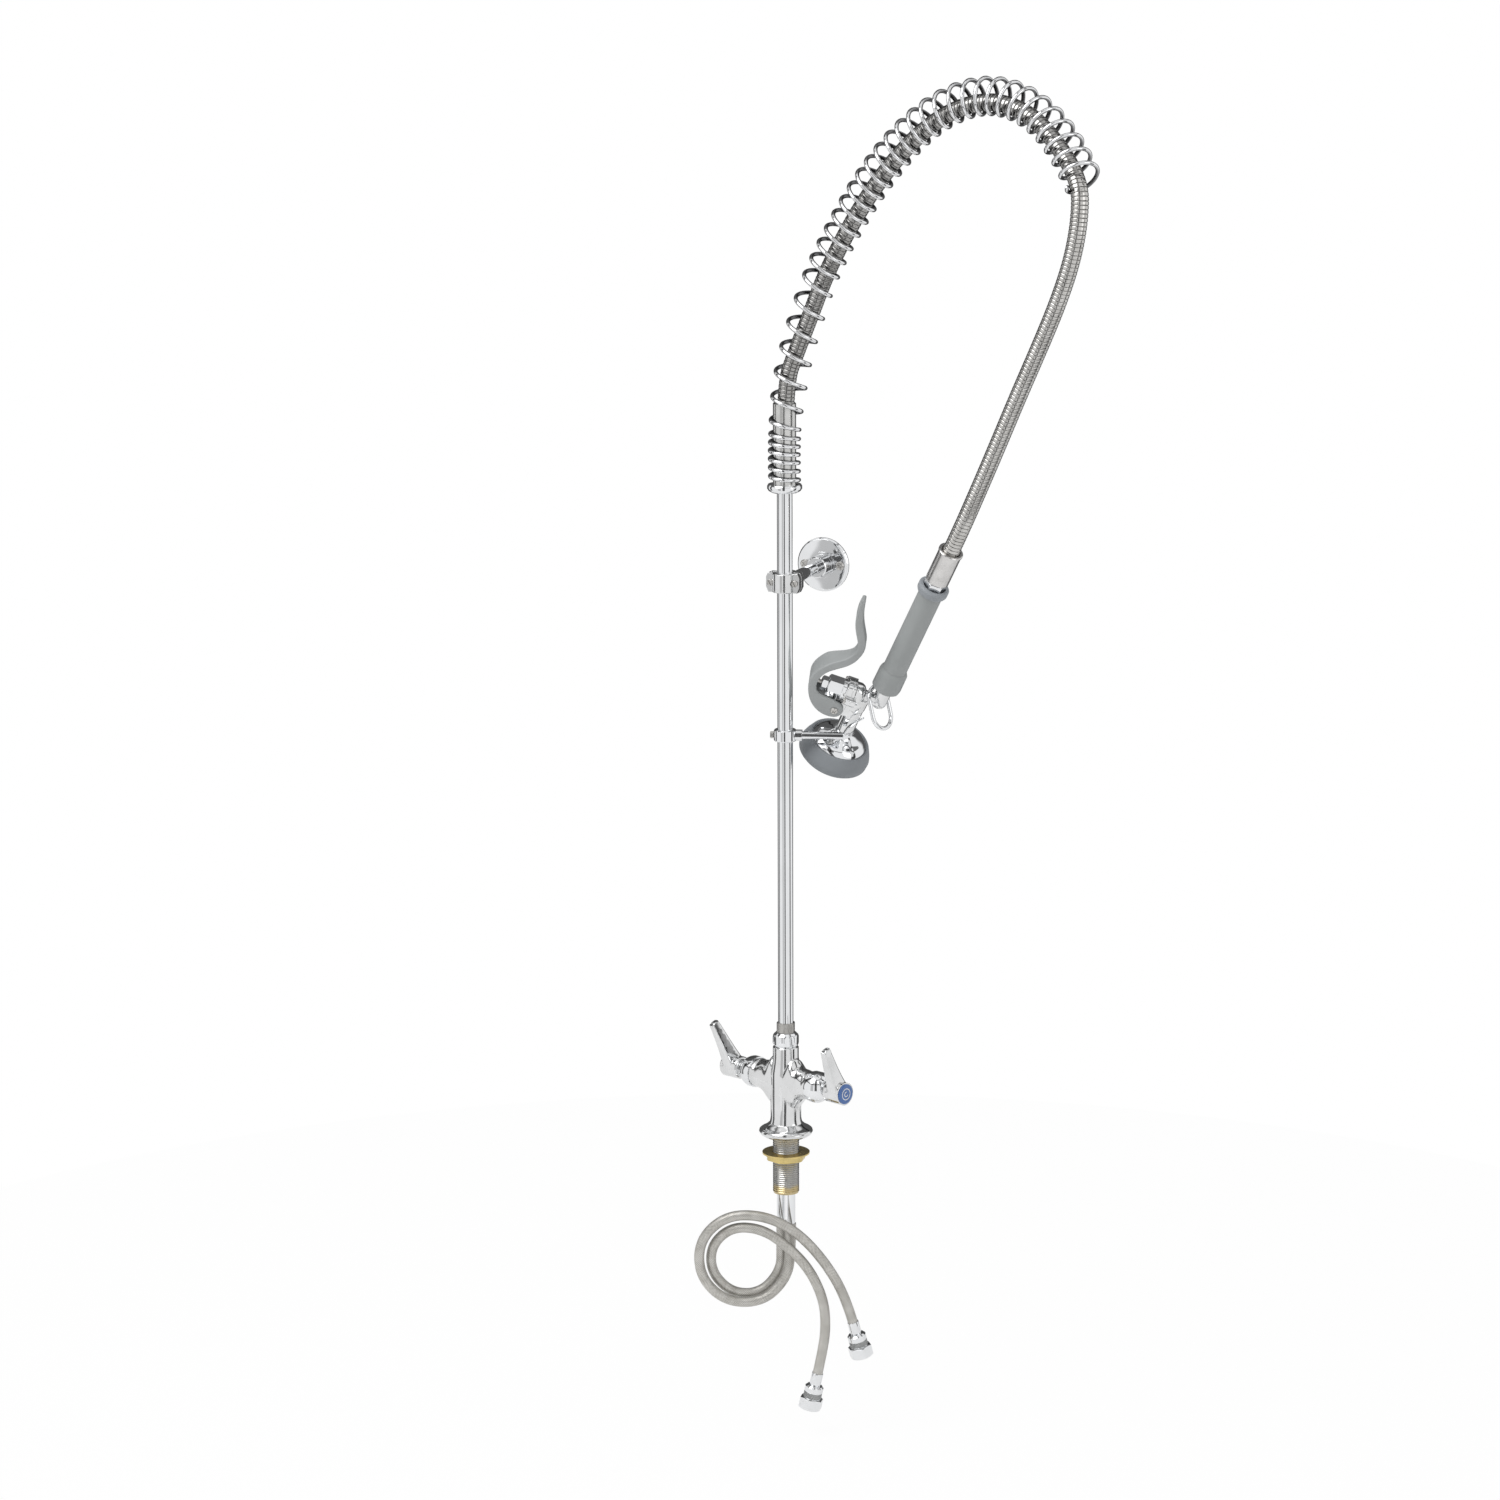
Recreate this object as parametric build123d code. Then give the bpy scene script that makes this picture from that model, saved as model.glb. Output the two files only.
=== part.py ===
from build123d import *
import os
from math import cos, radians, sin, tan

os.makedirs("parts", exist_ok=True)

# Sizes in millimetres. The origin is the centre of the deck flange's underside,
# +Z is up, the two handles lie along X and -Y is the front.

seat_gap = 0.1          # round a piece that is screwed or pressed into its hole
run_gap = 0.08          # round a turning or sliding pin, stem or pipe
free_gap = 0.4          # between pieces that only pass each other
face_gap = 0.3          # between the faces of moving pieces

# deck mounting
shank_d = 29.6
shank_bore = 25.4
shank_drop = 66.0           # below the deck
shank_rise = 16.0           # into the body
thread_pitch = 2.4
thread_depth = 0.8
washer_d = 53.2
washer_t = 1.8
washer_z = -18.5            # top of the washer
locknut_d = 43.4
locknut_t = 7.0

# body of the mixing faucet
flange_d = 60.4
flange_foot_d = 46.0
flange_rim_z = 6.0
flange_h = 16.0
column_d = 34.6
handle_z = 65.5             # height of the handle axis
arm_d = 32.6
arm_reach = 43.0
arm_blend = 12.0            # radius of the casting between the column and the arm's top
arm_sweep = 22.0            # the same under the arm
arm_bore = 20.0
arm_bore_start = 12.0
boss_d = 29.0
body_top = 104.0
riser_socket_depth = 16.0
waterway_d = 7.0

# supply tubes
tube_d = 9.6
tube_bore = 7.6
tube_spread = 15.2          # centre to centre
tube_end_z = -101.0
tube_socket_depth = 13.0

# handles
bonnet_d = 35.0
bonnet_len = 20.0
bonnet_rim = 4.2            # straight rim below the bonnet's dome
bonnet_spigot = 12.0
stem_d = 9.0
stem_collar_t = 14.0
hub_d = 25.6
hub_start = 66.5            # inner face of the handle's hub, from the centre
hub_len = 24.3
hub_neck_d = 16.0
hub_neck_len = 3.2
hub_socket_depth = 13.0
button_d = 22.6
button_t = 1.4
button_spigot_d = 17.0
button_spigot_len = 2.4
lever_reach = 61.8
lever_root_t = 17.0
lever_tip_d = 11.0
lever_tip_t = 6.5
lever_lean = 26.5           # degrees from upright, towards the front
lever_splay = 7.2           # the tip stands this much further out
handle_screw_d = 4.0
handle_screw_head_d = 8.0
handle_screw_head_t = 2.6
handle_screw_len = 12.0

# riser
riser_d = 17.1
riser_bore = 12.5
riser_nut_d = 29.6
riser_nut_h = 16.0
adapter_d = 20.6
adapter_h = 11.0
riser_top = 752.0

# wall bracket
clamp_z = 631.0
clamp_h = 21.5
clamp_d = 29.0
clamp_ear_reach = 19.4
clamp_ear_t = 7.0
clamp_split = 1.2
clamp_screw_spread = 28.6
clamp_screw_d = 4.0
clamp_screw_head_d = 7.2
clamp_screw_head_t = 2.4
bracket_bearing = 112.0     # degrees from +X
bracket_reach = 118.0       # riser axis to the wall
bracket_rod_d = 13.5
rod_boss_d = 19.0
rod_boss_end = 24.0
rod_start = 14.0
bracket_hub_d = 24.0
bracket_hub_len = 20.0
wall_flange_d = 61.0
wall_flange_t = 4.0
wall_screw_spread = 42.0
wall_screw_d = 5.0
wall_thread_d = 4.0
wall_screw_head_d = 10.0
wall_screw_head_t = 3.0
wall_screw_len = 25.0
wall_screw_point = 6.0

# finger hook
hook_z = 459.4
hook_bearing = 38.0
hook_clamp_d = 25.0
hook_clamp_h = 13.0
hook_rod_d = 8.4
hook_rod_start = 11.0
hook_reach = 64.5           # riser axis to the start of the bend
hook_bend = 20.0
hook_tip = 2.5
hook_socket_d = 12.6
hook_socket_end = 19.0
hook_screw_d = 4.0
hook_screw_len = 7.0

# overhead spring
spring_nut_d = 38.5
spring_nut_h = 9.0
spring_foot_z = 740.0
spring_wire = 4.5
spring_foot_r = 16.9        # wire centre, at the foot
spring_main_r = 18.9
spring_arch_r = 20.4
coil_points = 9             # route points in each turn
coil_start = 0.25           # turns, measured from the wall side
spring_side = 16.0          # bearing that the arch leans over
spring_length = 694.0       # along the centre line

spring_route = [
    (0, 0, 740),
    (0, 0, 790),
    (2, 3, 834),
    (9, 8, 881),
    (20, 15, 926),
    (35, 22, 971),
    (55, 30, 1014),
    (80, 38, 1057),
    (109, 45, 1096),
    (143, 54, 1132),
    (184, 65, 1160),
    (230, 78, 1172),
    (277, 87, 1160),
    (318, 88, 1130),
    (353, 82, 1092),
    (360, 80, 1084),
]

# distance along the centre line and the coil's pitch there
spring_pitch = [
    (0, 9.6),
    (20, 9.6),
    (30, 8.9),
    (54, 8.9),
    (70, 22.0),
    (84, 27.0),
    (222, 27.4),
    (240, 18.6),
    (300, 17.5),
    (480, 17.5),
    (536, 14.4),
    (590, 17.5),
    (700, 18.8),
]

# distance along the centre line and the coil's radius there
spring_radius = [
    (0, spring_foot_r),
    (60, spring_foot_r),
    (110, spring_main_r),
    (280, spring_main_r),
    (380, spring_arch_r),
    (700, spring_arch_r),
]

# spray hose
hose_d = 19.0
hose_bore = 12.0
foot_ferrule_d = 25.4
foot_ferrule_top = 830.0
foot_web_t = 2.5

hose_route = [
    (0, 0, 754.8),
    (0, 0, 849),
    (10.5, 8, 886),
    (23.5, 16, 925),
    (39, 23, 969),
    (59, 31, 1011.5),
    (84, 39, 1054),
    (113, 46, 1092.5),
    (146.5, 55, 1128),
    (185.5, 65.5, 1156),
    (230, 78, 1168.5),
    (275, 86.5, 1156.5),
    (314.5, 87, 1126.5),
    (351.5, 80.6, 1088.6),
    (354.5, 76.5, 1050),
    (348, 73, 1008),
    (332, 69.5, 962),
    (310, 65, 912),
    (285.5, 60, 859),
    (263, 54, 806),
    (242, 48, 757),
]

# spray valve: a frame whose Z is the grip axis and whose X points to the lever
valve_rise = 53.4           # the frame's origin above the finger hook
grip_foot = (88.0, 66.9, hook_z + valve_rise)
valve_tilt = 34.4           # grip axis from upright
valve_bearing = -10.2       # the way the grip leans, from +X
valve_roll = 143.0          # the lever's side, round the grip axis
grip_start = 3.0            # foot of the grip, above the frame's origin
grip_len = 143.0
grip_d = 27.0
grip_base_d = 31.0
grip_base_h = 29.0
grip_tube_d = 14.0
grip_tube_bore = 9.0
end_ring_d = 34.5
end_ring_h = 11.0
swivel_af = 22.0
swivel_z = grip_start + grip_len + 6.5
swivel_top = swivel_z + 11.5
grip_tube_end = swivel_z + 5.5
hose_ferrule_d = 26.5
hose_ferrule_len = 44.0
neck_d = 17.0
neck_socket = 12.0
waist_d = 15.0
head_x = 22.0               # spray axis, beside the grip axis
head_d = 20.8
head_seam = -36.0
head_end = -70.0
head_bore = 11.0
bonnet_z = -18.0            # height of the bonnet axis
bonnet_seat_x = 33.5
bonnet_seat_d = 30.0
plate_t = 7.0
plate_lug_spread = 38.0
plate_lug_d = 9.0
plate_screw_d = 4.0
plate_screw_len = 13.0
chamber_d = 18.0
bonnet_nut_af = 21.0
bonnet_nut_end = 61.0
bonnet_spigot_d = 15.0
packing_nut_af = 14.0
packing_nut_end = 68.0
valve_stem_d = 5.0
valve_disc_x = 20.0
trigger_gap = 0.4           # stem tip to the trigger's web
trigger_t = 9.4
trigger_w = 15.0
trigger_tip = 0.755 * grip_len      # height of the trigger's tip beside the grip
trigger_fork_w = 27.0
trigger_round = 2.0
cheek_gap = 21.6
web_t = 3.8
pivot_x = 44.0
pivot_z = -40.0
pivot_d = 5.0
pivot_head_d = 8.4
pivot_head_t = 2.2
pivot_lug_w = 20.6
bell_rim_z = -88.0
bell_d = 63.0
bell_wall = 2.2
bumper_d = 81.0
bumper_top_d = 69.5
bumper_end = -110.0
bumper_lap = 3.0
face_t = 3.0
spray_hole_d = 2.0
face_screw_d = 4.0

# hold ring
ring_wire = 4.5
ring_w = 34.0
ring_h = 52.0
ring_at = (0.0, 2.7, -18.0)     # inside the elbow that it hangs on
ring_drop = 5.0
ring_down = (0.288, -0.009, -0.957)
ring_normal = (0.957, 0.027, 0.288)

# braided supply hoses
braid_d = 11.4
crimp_d = 12.4
crimp_len = 15.0
collar_d = 21.0
collar_len = 15.0
collar_lap = 4.0
coupling_af = 24.0
coupling_len = 13.0
coupling_thread_d = 19.2
coupling_depth = 9.5

cold_route = [
    (7.6, 0, -101),
    (7.6, 0, -133),
    (3, -1.5, -166),
    (-15.5, -22, -194),
    (-43, -54, -192.5),
    (-60.5, -78, -161),
    (-57, -82.5, -117),
    (-32, -65.5, -86),
    (0, -37.5, -85),
    (27, -11.5, -104),
    (48, 13, -141),
    (63, 32.5, -186),
    (67.5, 42, -225),
]
hot_route = [
    (-7.6, 0, -101),
    (-7.6, 0, -131),
    (-10.5, 2.5, -161),
    (-26, -14, -187.5),
    (-46, -40.5, -186),
    (-57.5, -62, -159.5),
    (-51.5, -69, -125),
    (-29, -59, -100),
    (-2.5, -38.5, -101),
    (18.5, -19.5, -120),
    (37, -1.5, -148),
    (47.5, 10.8, -184),
    (49, 13.5, -219),
    (44, 10.5, -255),
    (38.5, 7, -284),
]


def save(name, solid):
    """Write one sub-part under its node name."""
    export_step(solid, f"parts/{name}.step")


def disc(radius, low, high):
    """A cylinder on the Z axis between two heights."""
    return Pos(0, 0, low) * Cylinder(radius, high - low, align=(Align.CENTER, Align.CENTER, Align.MIN))


def ring(outer, inner, low, high):
    """A tube on the Z axis between two heights."""
    return disc(outer, low, high) - disc(inner, low - 1, high + 1)


def rod(start, end, radius):
    """A cylinder from one point to another."""
    a = Vector(*start)
    b = Vector(*end)
    bar = Cylinder(radius, (b - a).length, align=(Align.CENTER, Align.CENTER, Align.MIN))
    return Plane(origin=a, z_dir=b - a) * bar


def turned(profile):
    """Revolve (radius, height) points round the Z axis."""
    face = make_face(Plane.XZ * Polyline(*profile, close=True))
    return revolve(face, Axis.Z, 360)


def hex_bar(across_flats, low, high, turn=0):
    """A hexagonal bar on the Z axis."""
    sketch = Rot(0, 0, turn) * RegularPolygon(across_flats / 2, 6, major_radius=False)
    return Pos(0, 0, low) * extrude(sketch, high - low)


def hex_nut(across_flats, low, high, turn=0):
    """A hexagonal nut with its corners turned off at both ends."""
    corner = across_flats / 2 / cos(radians(30))
    cut = corner - across_flats / 2 + 0.2
    rise = cut * 0.6
    outline = [
        (0, low),
        (corner - cut, low),
        (corner, low + rise),
        (corner, high - rise),
        (corner - cut, high),
        (0, high),
    ]
    return hex_bar(across_flats, low, high, turn) & turned(outline)


def bearing(angle, tilt=90.0):
    """A direction from the angle round Z and the angle from upright."""
    flat = sin(radians(tilt))
    return Vector(flat * cos(radians(angle)), flat * sin(radians(angle)), cos(radians(tilt)))


def tube_route(points, share=0.45):
    """Straight runs joined by the largest tangent arcs that the runs allow."""
    corners = [Vector(*p) for p in points]
    radii = []
    for a, b, c in zip(corners, corners[1:], corners[2:]):
        half_turn = radians((b - a).get_angle(c - b) / 2)
        shorter = min((b - a).length, (c - b).length)
        radii.append(share * shorter / tan(half_turn))
    return FilletPolyline(*corners, radius=radii), radii


def swept(path, diameter):
    """A round bar along a path."""
    return sweep(Plane(origin=path @ 0, z_dir=path % 0) * Circle(diameter / 2), path=path)


def cross_head(radius, height, width=1.2):
    """A pan head on the Z axis, seated at zero, with a cross recess."""
    outline = [(0, 0), (radius, 0), (radius, height * 0.4), (radius * 0.8, height * 0.85), (0, height)]
    head = turned(outline)
    for turn in (45, 135):
        head -= Pos(0, 0, height) * Rot(0, 0, turn) * Box(radius * 1.1, width, height)
    return head


def slot_head(radius, height, width=1.2):
    """A cheese head on the Z axis, seated at zero, with a slot."""
    head = chamfer(disc(radius, 0, height).edges().group_by(Axis.Z)[-1], height * 0.25)
    return head - Pos(0, 0, height) * Rot(0, 0, 30) * Box(2 * radius + 2, width, height)


def between(value, table):
    """Straight-line value from a table of pairs."""
    for (a, low), (b, high) in zip(table, table[1:]):
        if value <= b:
            return low + (high - low) * (value - a) / (b - a)
    return table[-1][1]


# ---- deck mounting and body


def fillet_rise(distance, radius):
    """How far a fillet still stands out at a distance from its root."""
    back = min(0.93, max(0, 1 - distance / radius))
    return radius * (1 - (1 - back * back) ** 0.5)


def faucet_body():
    """Cast body: deck flange, column, two blended arms and the riser boss, bored for water."""
    foot = flange_foot_d / 2
    rim = flange_d / 2
    column = column_d / 2
    boss = boss_d / 2
    outline = [
        (0, 0),
        (foot, 0),
        (foot + 3.0, 1.0),
        (rim - 2.0, flange_rim_z - 3.4),
        (rim - 0.6, flange_rim_z - 1.8),
        (rim, flange_rim_z),
        (rim - 0.6, flange_rim_z + 1.9),
        (rim - 2.2, flange_rim_z + 3.2),
        (rim - 5.0, flange_rim_z + 4.2),
        (column + 5.6, flange_rim_z + 6.0),
        (column + 3.0, flange_rim_z + 8.2),
        (column + 1.3, flange_h - 0.6),
        (column + 0.4, flange_h + 2.4),
        (column, flange_h + 6.0),
        (column, handle_z + 8.0),
        (boss + 0.8, handle_z + 19.0),
        (boss, handle_z + 26.0),
        (boss, body_top - 1.0),
        (boss - 1.0, body_top),
        (0, body_top),
    ]
    body = turned(outline)
    arm = arm_d / 2
    blend_end = column + arm_sweep
    for side in (-1, 1):
        sections = []
        for distance in (-column, -column * 0.45, 0.6, 3.6, 8.0, 13.6):
            width = arm + (column - 1.0 - arm) * (1 - max(0, distance) / arm_sweep)
            top = arm + fillet_rise(distance, arm_blend)
            low = arm + fillet_rise(distance, arm_sweep)
            middle = Plane.YZ.offset(side * (column + distance)) * Pos(0, (top - low) / 2)
            sections.append(middle * Ellipse(width, (top + low) / 2))
        sections.append(Plane.YZ.offset(side * blend_end) * Circle(arm))
        body += Pos(0, 0, handle_z) * loft(sections)
        body += rod((side * blend_end, 0, handle_z), (side * arm_reach, 0, handle_z), arm)
    body -= disc(shank_d / 2 + seat_gap, -1, shank_rise)
    body -= disc(riser_d / 2 + run_gap, body_top - riser_socket_depth, body_top + 1)
    body -= disc(riser_bore / 2, handle_z, body_top)
    body -= rod((-arm_bore_start - 1, 0, handle_z), (arm_bore_start + 1, 0, handle_z), waterway_d / 2)
    for side in (-1, 1):
        start = (side * arm_bore_start, 0, handle_z)
        body -= rod(start, (side * (arm_reach + 1), 0, handle_z), arm_bore / 2)
        x = side * tube_spread / 2
        top = shank_rise + tube_socket_depth
        body -= Pos(x, 0, 0) * disc(tube_d / 2 + seat_gap, shank_rise - 1, top)
        inlet_x = side * (arm_bore_start + waterway_d / 2)
        body -= rod((x, 0, top - 1), (inlet_x, 0, handle_z - 2), waterway_d / 2 - 0.3)
    return body


def threaded_shank():
    """Hollow threaded shank, screwed into the body and hanging through the deck."""
    outer = shank_d / 2
    root = outer - thread_depth
    points = [(shank_bore / 2, shank_rise), (shank_bore / 2, -shank_drop), (root, -shank_drop)]
    turns = int((shank_drop - 3) / thread_pitch)
    for k in range(turns):
        z = -shank_drop + 1 + k * thread_pitch
        points.append((root, z))
        points.append((outer, z + thread_pitch * 0.42))
        points.append((outer, z + thread_pitch * 0.58))
    points.append((root, -shank_drop + 1 + turns * thread_pitch))
    points.append((root, -0.4))
    points.append((outer, 0.4))
    points.append((outer, shank_rise))
    return turned(points)


def deck_washer():
    """Plain washer under the deck."""
    return ring(washer_d / 2, shank_d / 2 + face_gap, washer_z - washer_t, washer_z)


def shank_locknut():
    """Locknut that draws the washer up against the deck, with turned-off corners."""
    top = washer_z - washer_t
    nut = hex_bar(locknut_d * 0.92, top - locknut_t, top) & disc(locknut_d / 2, top - locknut_t, top)
    return nut - disc(shank_d / 2 + seat_gap, top - locknut_t - 1, top + 1)


def supply_tube(side):
    """Straight supply tube from the body down through the shank."""
    top = shank_rise + tube_socket_depth - 1
    return Pos(side * tube_spread / 2, 0, 0) * ring(tube_d / 2, tube_bore / 2, tube_end_z, top)


# ---- handles, modelled with +Z outward along the arm and the lever along +Y


def arm_plane(side):
    """The frame of one handle: Z outward, Y along its lever at rest."""
    lean = radians(lever_lean)
    return Plane(origin=(0, 0, handle_z), x_dir=(0, side * cos(lean), side * sin(lean)), z_dir=(side, 0, 0))


def handle_bonnet():
    """Domed bonnet nut screwed into the end of the arm."""
    r = bonnet_d / 2
    bore = stem_d / 2 + run_gap
    spigot = arm_bore / 2 - seat_gap
    z = arm_reach
    dome = Pos(0, 0, z + bonnet_rim) * Sphere(r + 0.4)
    bonnet = disc(r, z, z + bonnet_len) & dome
    return bonnet + disc(spigot, z - bonnet_spigot, z + 1) - disc(bore, z - bonnet_spigot - 1, z + bonnet_len + 1)


def handle_stem():
    """Turning stem of the valve cartridge, carrying the handle."""
    bonnet_foot = arm_reach - bonnet_spigot
    collar_top = bonnet_foot - face_gap
    stem = disc(stem_d / 2, bonnet_foot - 1, hub_start + hub_socket_depth - 1)
    stem += disc(arm_bore / 2 - free_gap, collar_top - stem_collar_t, collar_top)
    stem -= disc(3.0, collar_top - stem_collar_t - 1, collar_top - 6)
    screw_end = hub_start + hub_socket_depth - handle_screw_len
    return stem - disc(handle_screw_d / 2, screw_end, hub_start + hub_socket_depth)


def handle_lever():
    """Lever handle: a round hub drawn out into a tapered blade."""
    hub_end = hub_start + hub_len
    middle = hub_start + hub_len / 2
    lever = disc(hub_d / 2, hub_start, hub_end)
    lever = fillet(lever.edges().group_by(Axis.Z)[0], 2.6)
    root_w = hub_d - 0.8
    stations = [(0, root_w, lever_root_t, 5.0), (0.42, 0.70, 0.66, 3.4), (0.76, 0.54, 0.5, 2.6), (1, 0, 0, 2.2)]
    faces = []
    for share, wide, thick, corner in stations:
        if share == 0:
            wide_mm, thick_mm = root_w, lever_root_t
        elif share == 1:
            wide_mm, thick_mm = lever_tip_d, lever_tip_t
        else:
            wide_mm, thick_mm = root_w * wide, lever_root_t * thick
        z = middle + 1.5 + (lever_splay - 1.5) * share ** 1.3
        plane = Plane(origin=(0, (lever_reach - 1.2) * share, z), x_dir=(1, 0, 0), z_dir=(0, 1, 0))
        faces.append(plane * RectangleRounded(wide_mm, thick_mm, min(corner, thick_mm / 2 - 0.3)))
    lever += loft(faces)
    tip = Pos(0, lever_reach - lever_tip_d / 2, middle + lever_splay) * Cylinder(lever_tip_d / 2, lever_tip_t)
    lever += fillet(tip.edges(), 1.4)
    lever += disc(hub_neck_d / 2, hub_start - hub_neck_len, hub_start + 2)
    lever -= disc(stem_d / 2 + seat_gap, hub_start - hub_neck_len - 1, hub_start + hub_socket_depth)
    lever -= disc(handle_screw_d / 2 + seat_gap, hub_start, hub_end)
    lever -= disc(handle_screw_head_d / 2 + free_gap, hub_start + hub_socket_depth + 2, hub_end + 1)
    return lever - disc(button_spigot_d / 2 + seat_gap, hub_end - button_spigot_len - 0.6, hub_end + 1)


def handle_screw():
    """Screw that holds the handle on its stem, under the index button."""
    seat = hub_start + hub_socket_depth + 2
    screw = Pos(0, 0, seat) * cross_head(handle_screw_head_d / 2, handle_screw_head_t)
    return screw + disc(handle_screw_d / 2, seat - handle_screw_len, seat)


def index_button():
    """Coloured button snapped into the end of the hub."""
    face = hub_start + hub_len
    r = button_d / 2
    spigot = button_spigot_d / 2
    outline = [
        (0, face - button_spigot_len),
        (spigot, face - button_spigot_len),
        (spigot, face),
        (r, face),
        (r, face + button_t * 0.55),
        (r - 0.9, face + button_t * 0.9),
        (r - 2.4, face + button_t),
        (0, face + button_t),
    ]
    return turned(outline)


# ---- riser


def riser_nut():
    """Swivel nut that holds the riser in the body."""
    corner = riser_nut_d / 2
    top = body_top + riser_nut_h
    outline = [
        (riser_d / 2 + run_gap, body_top),
        (corner - 2.2, body_top),
        (corner - 0.4, body_top + 2.6),
        (corner, body_top + 5.0),
        (corner, top - 5.0),
        (corner - 0.8, top - 2.6),
        (corner - 3.4, top),
        (riser_d / 2 + run_gap, top),
    ]
    return turned(outline) & hex_bar(riser_nut_d * 0.925, body_top - 1, top + 1)


def lock_ring():
    """Adapter ring on the riser above the swivel nut."""
    low = body_top + riser_nut_h + face_gap
    piece = hex_bar(adapter_d * 0.93, low, low + adapter_h) & disc(adapter_d / 2, low, low + adapter_h)
    return piece - disc(riser_d / 2 + seat_gap, low - 1, low + adapter_h + 1)


def riser_pipe():
    """Riser pipe from the body up to the spring."""
    return ring(riser_d / 2, riser_bore / 2, body_top - riser_socket_depth + face_gap, riser_top)


# ---- wall bracket, modelled with X across, Y towards the wall


def bracket_plane():
    """The frame of the wall bracket, on the riser axis."""
    return Plane(origin=(0, 0, clamp_z), x_dir=bearing(bracket_bearing - 90), z_dir=(0, 0, 1))


def clamp_half(side):
    """One half of the riser clamp; the half towards the wall carries the rod."""
    half_h = clamp_h / 2
    reach = clamp_ear_reach
    ears = Polygon(
        (-reach, -half_h * 0.45),
        (-reach * 0.86, -half_h),
        (reach * 0.86, -half_h),
        (reach, -half_h * 0.45),
        (reach, half_h * 0.55),
        (reach * 0.9, half_h),
        (-reach * 0.9, half_h),
        (-reach, half_h * 0.55),
        align=None,
    )
    body = extrude(Plane.XZ * ears, clamp_ear_t, both=True)
    barrel = disc(clamp_d / 2, -half_h, half_h)
    barrel = chamfer(barrel.edges().filter_by(GeomType.CIRCLE), 1.2)
    body += barrel
    if side > 0:
        body += rod((0, 0, 0), (0, rod_boss_end, 0), rod_boss_d / 2)
        body -= rod((0, rod_start, 0), (0, rod_boss_end + 1, 0), bracket_rod_d / 2 + seat_gap)
    body -= disc(riser_d / 2 + run_gap, -half_h - 1, half_h + 1)
    for x in (-clamp_screw_spread / 2, clamp_screw_spread / 2):
        body -= rod((x, -30, 0), (x, 30, 0), clamp_screw_d / 2 + seat_gap)
        body -= rod((x, -30, 0), (x, -clamp_ear_t, 0), clamp_screw_head_d / 2 + free_gap)
    keep = Pos(0, side * (25 + clamp_split / 2), 0) * Box(60, 50, 60)
    return body & keep


def clamp_screws():
    """Two slotted screws that draw the clamp halves together."""
    screws = []
    for x in (-clamp_screw_spread / 2, clamp_screw_spread / 2):
        plane = Plane(origin=(x, -clamp_ear_t, 0), z_dir=(0, -1, 0))
        screw = slot_head(clamp_screw_head_d / 2, clamp_screw_head_t)
        screw += disc(clamp_screw_d / 2, -2 * clamp_ear_t, 0)
        screws.append(plane * screw)
    return screws


def bracket_rod():
    """Rod from the clamp to the wall flange."""
    end = bracket_reach - wall_flange_t
    return rod((0, rod_start, 0), (0, end, 0), bracket_rod_d / 2)


def wall_flange():
    """Round wall flange with its hub, bored for the rod and two screws."""
    face = bracket_reach
    front = face - wall_flange_t
    hub = bracket_hub_d / 2
    r = wall_flange_d / 2
    bore = bracket_rod_d / 2 + seat_gap
    outline = [
        (0, face),
        (r, face),
        (r, face - 1.6),
        (r - 1.6, front + 0.5),
        (r - 4.0, front),
        (hub + 2.6, front),
        (hub + 2.6, front - 2.6),
        (hub, front - 2.6),
        (hub, front - bracket_hub_len + 1.2),
        (hub - 1.2, front - bracket_hub_len),
        (bore, front - bracket_hub_len),
        (bore, front),
        (0, front),
    ]
    flange = Rot(-90, 0, 0) * turned(outline)
    for x in (-wall_screw_spread / 2, wall_screw_spread / 2):
        flange -= rod((x, front - 1, 0), (x, face + 1, 0), wall_screw_d / 2 + seat_gap)
    return flange


def wall_screws():
    """Two screws through the wall flange."""
    seat = bracket_reach - wall_flange_t
    screws = []
    for x in (-wall_screw_spread / 2, wall_screw_spread / 2):
        plane = Plane(origin=(x, seat, 0), z_dir=(0, -1, 0))
        screw = cross_head(wall_screw_head_d / 2, wall_screw_head_t)
        screw += disc(wall_screw_d / 2, -wall_flange_t, 0)
        screw += disc(wall_thread_d / 2, -wall_screw_len + wall_screw_point, -wall_flange_t)
        point = Cone(0.6, wall_thread_d / 2, wall_screw_point, align=(Align.CENTER, Align.CENTER, Align.MIN))
        screw += Pos(0, 0, -wall_screw_len) * point
        screws.append(plane * screw)
    return screws


# ---- finger hook, modelled with X along its rod


def hook_plane():
    """The frame of the finger hook, on the riser axis."""
    return Plane(origin=(0, 0, hook_z), x_dir=bearing(hook_bearing), z_dir=(0, 0, 1))


def hook_collar():
    """Collar on the riser with a socket for the hook rod and a set screw hole."""
    half = hook_clamp_h / 2
    collar = disc(hook_clamp_d / 2, -half, half)
    collar = chamfer(collar.edges().filter_by(GeomType.CIRCLE), 1.0)
    collar += rod((0, 0, 0), (hook_socket_end, 0, 0), hook_socket_d / 2)
    collar -= disc(riser_d / 2 + seat_gap, -half - 1, half + 1)
    collar -= rod((hook_rod_start, 0, 0), (hook_socket_end + 1, 0, 0), hook_rod_d / 2 + seat_gap)
    return collar - rod((0, 0, 0), (-hook_clamp_d, 0, 0), hook_screw_d / 2 + seat_gap)


def hook_screw():
    """Thumb screw that grips the collar on the riser."""
    start = riser_d / 2 + seat_gap
    seat = hook_clamp_d / 2
    screw = rod((-start, 0, 0), (-seat - 1, 0, 0), hook_screw_d / 2)
    head = hex_nut(7.0, 0, 4.0)
    return screw + Plane(origin=(-seat, 0, 0), z_dir=(-1, 0, 0)) * head


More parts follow.
